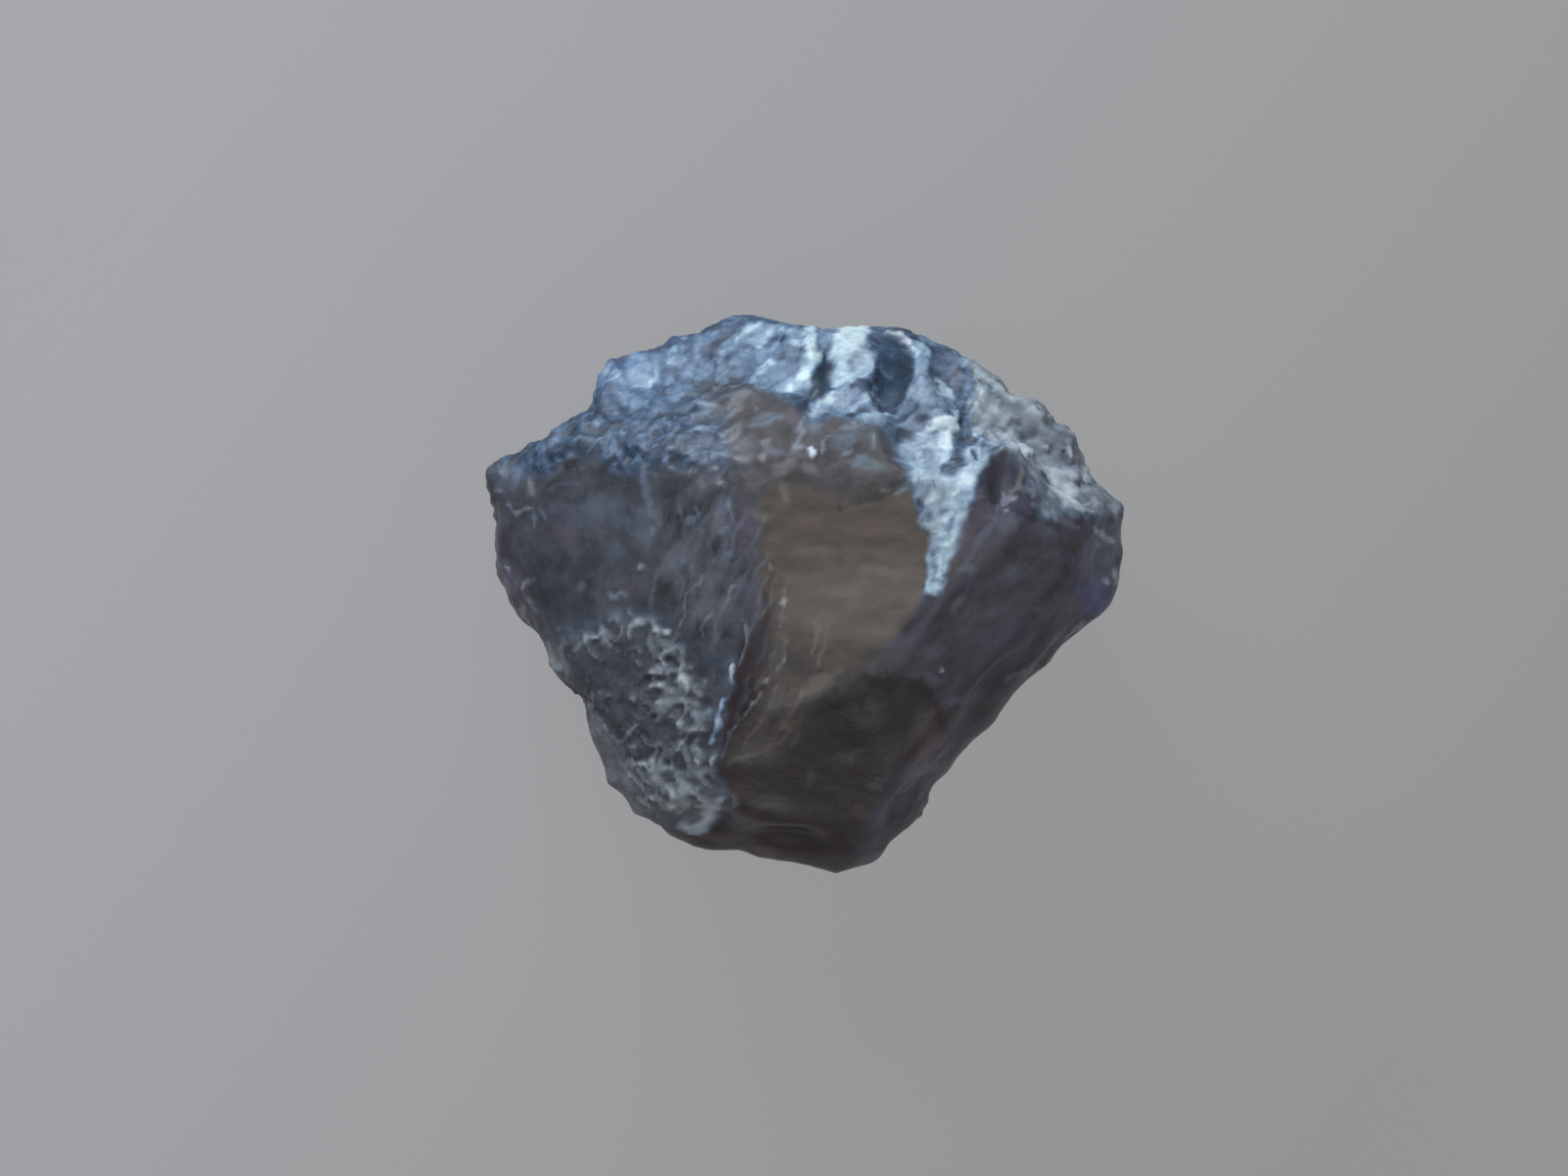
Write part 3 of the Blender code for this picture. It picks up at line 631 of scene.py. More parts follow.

# The bright column in the middle of the crown, paler by painted highlights, and the dark glassy
# cleft beside it, whose darkness is painted shade under a painted highlight on its upper rim
COLUMN = (
    *Patch.each(Mark.GLOW,
        (0.8, 0.15, ((0.95, 9.4), (1.2, 10.6), (2.3, 10.7), (2.5, 10.2), (2.2, 9.7), (2.6, 9.3),
            (2.65, 8.8), (2.3, 8.4), (1.4, 8.0), (1.0, 8.2), (1.0, 8.9))),
        (0.94, 0.25, ((1.0, 9.3), (1.3, 10.5), (2.35, 10.6), (2.3, 9.8), (1.7, 9.4),
            (1.3, 9.1)), 0.04),
    ),
    Scale(2.05, 8.9, 0.5, 0.45, -10, 0.62, 0.82, 0.08),
    Blob(Mark.GLOW, 0.86, 1.3, 8.7, 0.25, 0.35, 60),
    Patch(Mark.GLOW, 0.6, 0.2, ((-0.1, 6.8), (0.3, 7.3), (0.8, 7.9), (1.6, 8.2), (2.1, 7.9),
        (1.5, 7.2), (1.0, 6.9), (0.3, 6.5))),
    Stroke(Mark.GLOW, 0.82, 0.2, 0.05, ((0.1, 6.9), (0.6, 7.4), (1.1, 8.0))),
    *Blob.each(Mark.GLOW,
        (0.9, 0.95, 7.5, 0.26, 0.2, 40), (0.22, 0.6, 6.8, 0.4, 0.2, 30),
    ),
    Patch(Mark.GLOW, 0.5, 0.2, ((1.2, 7.0), (3.2, 8.2), (3.6, 7.4), (3.6, 6.2), (2.2, 6.2),
        (1.2, 6.6))),
    *Stroke.each(Mark.GLOW,
        (0.56, 0.16, 0.04, ((1.1, 7.1), (1.8, 7.5), (2.1, 7.9))),
        (0.64, 0.28, 0.07, ((1.8, 7.1), (2.4, 7.6), (3.05, 8.15))),
    ),
    *Blob.each(Mark.GLOW,
        (0.2, 1.8, 8.05, 0.2, 0.14), (0.28, 2.3, 8.15, 0.35, 0.2, -30),
        (0.18, 1.9, 6.95, 0.5, 0.16, 20),
    ),
    Stroke(Mark.GLOW, 0.58, 0.18, 0.04, ((1.8, 6.6), (2.6, 6.8), (3.4, 6.9), (3.8, 7.4))),
    Blob(Mark.GLOW, 0.5, 2.6, 6.0, 0.12, 0.35),
    Patch(Mark.GLOW, 0.2, 0.14, ((2.8, 9.8), (3.3, 10.1), (3.9, 9.8), (4.15, 9.4), (4.05, 8.4),
        (3.8, 7.6), (3.5, 6.9), (2.9, 7.1), (3.0, 7.9), (2.75, 8.4)), -0.08),
    Blob(Mark.GLOW, 0.28, 3.2, 10.2, 0.5, 0.12),
    Patch(Mark.DULL, 1.0, 0.12, ((2.8, 9.8), (3.3, 10.0), (3.85, 9.7), (4.15, 9.2), (4.15, 8.4),
        (3.95, 7.6), (3.6, 6.9), (2.9, 7.1), (3.0, 7.9), (2.75, 8.4))),
    Patch(Tone.NAVY_SHADE, 0.36, 0.12, ((2.8, 9.8), (3.3, 10.0), (3.85, 9.65), (4.15, 9.2), (4.1, 8.4),
        (3.9, 7.6), (3.5, 6.9), (2.9, 7.1), (3.0, 7.9), (2.75, 8.4))),
    Patch(Tone.SHADE, 0.12, 0.2, ((3.3, 9.2), (3.9, 9.2), (4.05, 8.4), (3.85, 7.6), (3.5, 7.1),
        (3.3, 7.6), (3.3, 8.5))),
    Blob(Tone.STEEL, 0.3, 3.3, 7.6, 0.3, 0.5, 10),
    Stroke(Tone.ICE_HIGHLIGHT, 0.95, 0.2, 0.05, ((3.15, 10.25), (3.55, 10.2), (3.95, 9.97), (4.15, 9.6))),
    *Patch.each(Mark.GLOW,
        (0.76, 0.1, ((4.2, 9.9), (4.7, 9.9), (4.75, 8.8), (4.5, 8.3), (4.2, 8.5)), 0.05),
        (0.26, 0.12, ((4.85, 9.7), (6.1, 9.3), (6.3, 8.2), (5.9, 7.6), (5.3, 8.3),
            (4.9, 8.4)), -0.04),
    ),
    Patch(Tone.PLUM, 0.16, 0.2, ((4.9, 9.6), (6.1, 9.2), (6.2, 8.2), (5.8, 7.8), (5.0, 8.5))),
    Stroke(Mark.GLOW, 0.56, 0.16, 0.03, ((4.5, 10.05), (5.0, 9.8), (6.0, 9.45))),
    Patch(Mark.ASHEN, 0.16, 0.5, ((0.8, 10.8), (2.6, 10.8), (2.8, 8.0), (3.6, 6.9), (3.6, 6.2),
        (0.0, 6.6), (0.8, 8.4))),
)

# The lobe below the cleft, with the whitest flakes of the stone, which are painted highlights, and
# thin grooves of painted shade
LOBE = (
    Patch(Mark.GLOW, 0.5, 0.15, ((4.3, 8.4), (3.8, 7.7), (3.5, 6.9), (4.2, 6.3), (5.0, 6.1),
        (5.8, 6.3), (5.85, 7.3), (5.55, 8.0), (5.0, 8.5)), 0.06),
    Blob(Mark.GLOW, 0.42, 4.75, 8.0, 0.4, 0.12, 60),
    *Stroke.each(Mark.GLOW,
        (0.74, 0.16, 0.04, ((4.9, 8.35), (5.4, 8.0), (5.7, 7.4), (5.75, 6.7))),
        (0.38, 0.14, -0.03, ((4.5, 7.7), (4.2, 7.2), (3.7, 6.7), (3.4, 6.2))),
    ),
    *Blob.each(Mark.GLOW,
        (0.64, 5.3, 7.4, 0.45, 0.22, 100), (0.64, 4.0, 7.75, 0.14, 0.28),
    ),
    Patch(Mark.ASHEN, 0.28, 0.4, ((4.3, 8.6), (3.6, 7.2), (3.4, 5.4), (4.4, 3.2), (4.6, 0.2),
        (5.3, 0.4), (6.5, 4.4), (7.0, 5.8), (6.0, 6.4), (5.9, 7.6), (5.2, 8.6))),
    *Patch.each(Mark.GLOW,
        (0.34, 0.2, ((3.6, 6.9), (4.3, 7.2), (4.7, 6.8), (4.6, 6.2), (3.8, 6.1))),
        (0.92, 0.15, ((5.0, 6.4), (5.6, 6.4), (5.65, 5.7), (5.4, 5.1), (5.0, 4.8), (4.9, 5.6))),
        (0.68, 0.15, ((3.4, 5.7), (4.3, 6.2), (5.0, 6.2), (5.1, 5.0), (4.9, 4.2), (4.3, 4.3),
            (3.9, 4.9), (3.5, 5.2)), 0.05),
    ),
    *Blob.each(Mark.GLOW,
        (1.35, 5.15, 6.65, 0.46, 0.26, 12, 0.02), (1.1, 5.5, 6.5, 0.16, 0.34, -15),
        (1.05, 4.85, 6.4, 0.24, 0.16, 30), (1.05, 5.72, 6.5, 0.16, 0.16),
        (0.44, 4.6, 5.4, 0.3, 0.2, 60), (0.8, 4.4, 4.75, 0.14, 0.2), (0.82, 5.0, 4.6, 0.15, 0.3),
        (0.55, 5.77, 5.75, 0.12, 0.3, -10),
    ),
    Blob(Tone.ICE_HIGHLIGHT, 0.6, 5.25, 6.68, 0.36, 0.18, 10),
    Stroke(Mark.GLOW, 0.3, 0.2, -0.05, ((6.05, 6.9), (5.95, 6.0), (5.75, 5.4), (5.3, 5.0))),
    Scale(5.5, 4.95, 0.24, 0.22, 90, 0.4, 0.76, 0.04),
)

# The pale blade that runs down along the pane, paler where it faces the key light, with a painted
# highlight near its upper end
BLADE = (
    Patch(Mark.GLOW, 0.75, 0.16, ((4.1, 4.4), (4.9, 4.6), (5.6, 4.5), (6.1, 5.0), (6.0, 5.5),
        (6.4, 5.8), (7.0, 5.8), (7.1, 5.2), (6.7, 4.6), (6.45, 4.2), (6.35, 3.6), (6.2, 3.0),
        (5.9, 2.3), (5.6, 1.4), (5.2, 0.3), (4.9, -0.1), (4.5, 0.0), (4.6, 1.4), (4.8, 2.3),
        (4.4, 2.8), (4.1, 3.4)), 0.1),
    *Blob.each(Mark.GLOW,
        (0.18, 6.5, 5.35, 0.3, 0.12, 100, -0.05), (0.98, 4.8, 3.8, 0.3, 0.2, 30, 0.02),
        (0.78, 5.5, 3.75, 0.5, 0.2, 5), (0.74, 6.4, 4.8, 0.2, 0.35), (0.34, 4.3, 3.5, 0.18, 0.3),
        (0.42, 4.65, 3.0, 0.25, 0.2), (0.4, 5.25, 3.2, 0.2, 0.15),
        (0.42, 5.6, 2.6, 0.5, 0.18, 80),
    ),
    *Stroke.each(Mark.GLOW,
        (0.76, 0.18, 0.04, ((6.2, 3.6), (6.0, 2.6), (5.6, 1.7), (5.3, 0.8))),
        (0.68, 0.16, 0.03, ((5.3, 2.6), (5.4, 1.9), (5.2, 1.2))),
    ),
    *Blob.each(Mark.GLOW,
        (0.46, 4.9, 1.0, 0.6, 0.18, 80), (0.74, 5.2, 0.5, 0.2, 0.2),
    ),
)

# The stepped, greyer edge on the right: pale treads over dark risers, whose sunken dark lines are
# painted shade
LEDGES = (
    *Patch.each(Mark.GLOW,
        (0.55, 0.3, ((6.2, 9.5), (8.0, 8.3), (11.0, 6.0), (12.9, 3.8), (11.6, 3.0), (9.0, 4.6),
            (6.1, 7.4))),
        (0.68, 0.3, ((6.3, 6.4), (6.5, 7.3), (7.0, 7.7), (8.0, 7.2), (8.1, 6.2), (7.4, 5.9))),
    ),
    *Stroke.each(Mark.GLOW,
        (0.36, 0.16, -0.04, ((6.5, 6.7), (7.0, 6.5), (7.6, 6.5), (8.1, 6.6))),
        (0.84, 0.18, 0.05, ((6.4, 6.1), (7.0, 6.0), (7.4, 5.8), (8.1, 5.55), (8.8, 5.5))),
    ),
    Blob(Mark.GLOW, 0.86, 7.25, 7.0, 0.25, 0.5, -10, 0.05),
    *Stroke.each(Mark.GLOW,
        (0.84, 0.26, 0.07, ((6.3, 9.2), (6.65, 8.5), (6.8, 7.9), (6.9, 7.4))),
        (0.76, 0.2, 0.05, ((6.1, 7.4), (6.5, 7.45), (6.9, 7.5))),
        (0.84, 0.24, 0.07, ((6.9, 8.5), (7.5, 8.05), (8.1, 7.5))),
    ),
    *Blob.each(Mark.GLOW,
        (0.26, 7.15, 8.0, 0.22, 0.12, -40), (0.26, 7.5, 7.7, 0.16, 0.12),
        (0.26, 6.1, 6.9, 0.4, 0.2, 90, -0.05),
    ),
    *Stroke.each(Mark.GLOW,
        (0.22, 0.22, -0.08, ((7.8, 7.9), (8.7, 7.85), (9.4, 7.3))),
        (0.76, 0.26, 0.07, ((8.0, 7.5), (8.7, 7.2), (9.5, 6.9))),
    ),
    Patch(Mark.GLOW, 0.32, 0.2, ((8.0, 6.9), (9.0, 6.8), (9.4, 6.4), (8.7, 6.1),
        (8.1, 6.2)), -0.06),
    Blob(Mark.GLOW, 0.2, 8.5, 6.25, 0.2, 0.15),
    Stroke(Mark.GLOW, 0.95, 0.34, 0.09, ((7.5, 5.95), (8.0, 5.7), (8.8, 5.5))),
    Patch(Mark.GLOW, 0.34, 0.3, ((9.3, 6.8), (10.3, 6.5), (10.9, 5.6), (10.9, 5.0), (9.6, 5.0),
        (8.9, 5.4))),
    *Blob.each(Mark.GLOW,
        (0.66, 10.3, 5.6, 0.35, 0.18, 100), (0.5, 9.3, 5.4, 0.2, 0.15),
    ),
    *Stroke.each(Mark.GLOW,
        (0.26, 0.18, -0.05, ((10.4, 6.5), (10.8, 5.8), (11.1, 4.9))),
        (0.74, 0.22, 0.05, ((9.1, 5.3), (9.3, 4.9), (9.7, 4.5))),
    ),
    Blob(Mark.GLOW, 0.16, 9.25, 4.65, 0.25, 0.12, -50),
    Patch(Mark.GLOW, 0.7, 0.2, ((9.9, 5.0), (10.9, 5.0), (11.2, 4.5), (10.3, 4.5),
        (9.6, 4.4)), 0.05),
    *Stroke.each(Mark.GLOW,
        (0.84, 0.14, 0.05, ((9.1, 5.3), (9.5, 4.6), (9.9, 3.9), (10.6, 3.5), (11.3, 3.2))),
        (0.3, 0.14, -0.04, ((9.4, 5.5), (9.9, 5.3), (10.5, 5.3), (11.0, 5.0))),
        (0.24, 0.14, -0.08, ((10.2, 4.35), (11.0, 4.35), (11.6, 4.2), (12.1, 3.9))),
    ),
    *Patch.each(Mark.GLOW,
        (0.8, 0.2, ((9.4, 4.1), (10.3, 4.3), (10.6, 3.9), (10.4, 3.5), (10.0, 3.5)), 0.06),
        (0.5, 0.2, ((10.7, 4.2), (11.9, 4.1), (12.6, 3.5), (12.3, 3.0), (11.3, 3.1),
            (10.7, 3.6))),
    ),
    Stroke(Mark.GLOW, 0.88, 0.2, 0.06, ((9.3, 4.1), (9.8, 3.9), (10.1, 3.5), (10.7, 3.35),
        (11.2, 3.15))),
    Patch(Tone.TEAL, 0.16, 0.4, ((6.2, 9.3), (7.2, 8.8), (8.4, 7.8), (8.2, 6.9), (7.2, 6.3),
        (6.4, 6.3), (6.1, 7.4))),
    *Blob.each(Mark.GLOW,
        (0.74, 11.9, 3.5, 0.15, 0.25), (0.1, 12.3, 3.3, 0.12, 0.3),
    ),
    # A dark line of painted shade along the upper edge
    Stroke(Tone.SHADE, 0.5, 0.18, 0.0, ((5.0, 10.1), (6.0, 9.8), (6.9, 9.15), (7.4, 8.65),
        (8.0, 8.15))),
)

# The shattered band: teal-grey below and bluer above, with dark gaps of painted shade and pale
# grains
BAND = (
    *Patch.each(Mark.GLOW,
        (0.22, 0.5, ((-12.8, 5.0), (-7.0, 4.2), (-2.4, 4.8), (-2.6, 7.2), (-8.6, 7.4),
            (-12.8, 7.0))),
        (0.28, 0.5, ((-9.0, 6.4), (-7.5, 6.0), (-5.0, 6.2), (-3.4, 6.6), (-4.0, 7.6),
            (-8.6, 7.8))),
    ),
    Patch(Mark.ASHEN, 0.25, 0.6, ((-6.5, 5.4), (-4.0, 6.6), (-2.4, 7.0), (-2.0, 4.2),
        (-6.0, 4.2))),
    *Blob.each(Mark.GLOW,
        (0.12, -10.6, 5.7, 0.25, 0.25), (0.12, -8.4, 6.4, 0.3, 0.2, 20),
        (0.14, -7.3, 6.6, 0.3, 0.2, -30), (0.12, -6.6, 5.6, 0.3, 0.15, 30),
        (0.14, -5.2, 6.9, 0.4, 0.2, -15), (0.12, -4.0, 6.2, 0.45, 0.2),
        (0.1, -4.2, 5.5, 0.25, 0.2), (0.08, -4.0, 4.85, 0.4, 0.25, 20),
        (0.52, -7.6, 6.3, 0.18, 0.14), (0.52, -8.2, 6.7, 0.18, 0.14),
        (0.5, -5.6, 6.4, 0.16, 0.14), (0.6, -4.3, 6.4, 0.3, 0.12, 10), (0.4, -6.3, 5.2, 0.4, 0.2),
        (0.4, -10.3, 5.7, 0.35, 0.2, 60),
    ),
    *Stroke.each(Mark.GLOW,
        (0.6, 0.18, 0.05, ((-3.15, 6.7), (-2.85, 7.0), (-2.55, 7.3))),
        (0.48, 0.16, 0.04, ((-5.6, 5.3), (-4.7, 5.4), (-3.6, 5.3), (-3.1, 5.0))),
    ),
    Blob(Tone.MIST, 0.5, -11.8, 5.4, 0.25, 0.12, 20),
)

# The dark face on the left, with pale, plum and steel-grey places; its narrow hollow is darkened
# as painted shade, and the pale bit on its left edge is a painted highlight
LEFT_FACE = (
    Blob(Tone.STEEL, 0.24, -8.2, 3.2, 1.7, 0.8),
    *Blob.each(Tone.SHADE,
        (0.52, -9.4, 0.5, 1.9, 1.3, -10), (0.56, -5.9, -0.2, 1.1, 0.9),
        (0.35, -9.9, 4.35, 0.7, 0.25, 30), (0.35, -5.2, 3.9, 0.45, 0.6),
    ),
    *Blob.each(Tone.PLUM,
        (0.3, -9.3, 2.3, 0.9, 0.3), (0.35, -11.6, 2.2, 0.4, 0.6),
    ),
    Blob(Tone.STEEL, 0.25, -11.7, 4.5, 0.7, 0.5),
    *Stroke.each(Tone.STEEL,
        (0.5, 0.22, 0.02, ((-6.3, 5.0), (-6.2, 4.0), (-6.0, 3.4), (-5.9, 2.3))),
        (0.3, 0.14, 0.01, ((-10.2, 3.7), (-9.9, 4.1), (-9.4, 4.3), (-8.7, 4.2))),
    ),
    Blob(Tone.STEEL, 0.28, -6.2, 2.6, 0.7, 0.7),
    *Blob.each(Tone.SHADE,
        (0.34, -8.5, 0.8, 0.5, 1.2, -10), (0.36, -10.5, 0.2, 0.4, 0.6, 15),
        (0.28, -7.2, 4.5, 0.9, 0.25, 10),
    ),
    Blob(Tone.STEEL, 0.22, -7.3, 1.6, 0.7, 0.4, -20),
    Blob(Tone.SHADE, 0.26, -6.7, 1.4, 0.4, 0.6),
    Blob(Tone.PLUM, 0.22, -6.4, 0.3, 0.8, 0.5),
    *Stroke.each(Tone.MIST,
        (0.45, 0.12, 0.04, ((-12.15, 4.05), (-11.9, 4.05), (-11.65, 4.0))),
        (0.42, 0.16, 0.04, ((-11.65, 3.5), (-11.2, 3.3), (-10.7, 3.3))),
    ),
    *Stroke.each(Tone.STEEL,
        (0.55, 0.12, 0.03, ((-10.6, 3.3), (-10.55, 2.9), (-10.6, 2.5))),
        (0.6, 0.12, 0.03, ((-10.4, 3.5), (-10.25, 3.2), (-10.05, 2.9))),
    ),
    *Blob.each(Tone.MIST,
        (0.5, -6.3, 1.05, 0.2, 0.16, 20, 0.05), (0.3, -12.0, 1.15, 0.3, 0.12, -60),
    ),
    Blob(Tone.STEEL, 0.35, -11.7, 0.4, 0.2, 0.45),
    Patch(Tone.PLUM, 0.3, 0.3, ((-12.0, 1.6), (-11.2, 1.0), (-10.9, 0.2), (-10.5, -0.8),
        (-11.1, -1.2), (-11.8, -0.3))),
    *Stroke.each(Tone.MIST,
        (0.32, 0.12, 0.03, ((-11.0, 0.25), (-10.8, 0.45), (-10.55, 0.5))),
        (0.32, 0.14, 0.03, ((-10.95, 0.0), (-10.7, -0.35), (-10.45, -0.7))),
    ),
    Blob(Tone.MIST, 0.4, -11.1, -0.7, 0.12, 0.4),
    Blob(Tone.SHADE, 0.25, -9.4, -0.3, 1.3, 1.1),
    *Blob.each(Tone.STEEL,
        (0.45, -9.6, -1.3, 0.2, 0.12), (0.3, -8.7, 0.3, 0.2, 0.3), (0.35, -8.0, -0.9, 0.12, 0.12),
    ),
    *Stroke.each(Tone.MIST,
        (0.3, 0.16, 0.04, ((-7.7, 0.2), (-7.4, -0.1), (-7.3, -0.2))),
        (0.3, 0.14, 0.04, ((-7.4, -0.05), (-7.1, 0.05), (-6.9, 0.0))),
    ),
    Blob(Tone.MIST, 0.45, -6.8, -0.65, 0.2, 0.12, -60, 0.04),
    Stroke(Tone.STEEL, 0.35, 0.14, 0.02, ((-5.8, 0.8), (-6.0, 0.2), (-6.1, -0.5))),
)

# The ropy face between the dark face and the pane, with painted shade in a small dip and painted
# highlights down the ridge by the pane
FIBRES = (
    Patch(Tone.STEEL, 0.24, 0.4, ((-4.2, 6.3), (-2.4, 6.5), (-2.1, 5.2), (-2.6, 4.6),
        (-4.0, 5.0))),
    Blob(Tone.MIST, 0.3, -4.2, 3.2, 0.12, 0.28),
    Blob(Tone.STEEL, 0.45, -4.5, 2.8, 0.4, 0.2),
    Stroke(Tone.STEEL, 0.42, 0.14, 0.02, ((-4.9, 3.7), (-4.8, 3.1), (-4.4, 2.8), (-4.05, 3.1))),
    Blob(Tone.SHADE, 0.4, -4.6, 3.5, 0.3, 0.35, 20, -0.03),
    Blob(Tone.STEEL, 0.34, -3.2, 3.5, 0.3, 0.6, -20),
    Blob(Tone.SHADE, 0.4, -3.8, 3.9, 0.25, 0.5, -20),
    *Stroke.each(Tone.STEEL,
        (0.36, 0.13, 0.02, ((-4.0, 2.2), (-3.7, 1.7), (-3.6, 1.2))),
        (0.34, 0.13, 0.02, ((-4.9, 0.9), (-4.7, 0.4), (-4.8, -0.1))),
    ),
    Blob(Tone.SHADE, 0.36, -4.1, 1.3, 0.25, 0.5, -20),
    *Stroke.each(Tone.STEEL,
        (0.36, 0.14, 0.02, ((-2.4, 3.0), (-2.7, 2.3), (-2.8, 1.7))),
        (0.34, 0.12, 0.02, ((-2.2, 1.1), (-2.5, 0.6), (-2.6, 0.1))),
    ),
    Stroke(Tone.MIST, 0.3, 0.1, 0.02, ((-2.9, 3.8), (-2.95, 3.3), (-2.85, 2.8))),
    *Blob.each(Tone.STEEL,
        (0.5, -3.2, 4.7, 0.3, 0.12, 45), (0.45, -3.2, 2.45, 0.3, 0.12, 50),
        (0.45, -4.7, 1.3, 0.16, 0.16), (0.35, -3.0, 1.6, 0.3, 0.14),
    ),
    *Blob.each(Tone.SHADE,
        (0.35, -3.0, 0.9, 0.5, 0.3), (0.25, -4.2, 2.3, 0.4, 0.15), (0.3, -5.2, -0.2, 0.4, 0.5),
    ),
    *Stroke.each(Tone.MIST,
        (0.32, 0.09, 0.02, ((-4.05, 0.75), (-4.2, 0.4), (-4.5, 0.1), (-4.6, -0.3), (-4.7, -0.8),
            (-5.0, -1.5))),
        (0.4, 0.13, 0.03, ((-3.7, -0.8), (-3.9, -1.2), (-4.0, -1.7))),
        (0.38, 0.2, 0.03, ((-2.7, 0.35), (-2.95, 0.0), (-3.1, -0.35))),
    ),
    Stroke(Tone.STEEL, 0.45, 0.12, 0.02, ((-3.5, -1.1), (-3.5, -1.9))),
    # The pale, white and blue strokes down the ridge by the pane are painted highlights along its
    # edge
    Stroke(Tone.MIST, 0.42, 0.08, 0.02, ((-2.4, -1.0), (-2.3, -1.9), (-2.45, -2.4),
        (-2.7, -2.9))),
    Stroke(Tone.ICE_HIGHLIGHT, 0.85, 0.16, 0.05, ((-2.76, -2.6), (-2.82, -2.9), (-2.88, -3.2))),
    Blob(Tone.MIST, 0.45, -2.9, -3.3, 0.17, 0.15),
    Stroke(Tone.STEEL, 0.45, 0.1, 0.02, ((-2.75, -3.6), (-2.95, -3.9), (-3.2, -4.1))),
    Stroke(Tone.SKY, 0.95, 0.2, 0.06, ((-3.2, -4.0), (-3.38, -4.6), (-3.45, -5.1),
        (-3.75, -5.7))),
    Stroke(Tone.ICE_HIGHLIGHT, 0.6, 0.11, 0.02, ((-3.3, -4.3), (-3.4, -4.8), (-3.45, -5.2))),
    Blob(Tone.TEAL, 0.5, -3.75, -4.7, 0.25, 0.35),
)

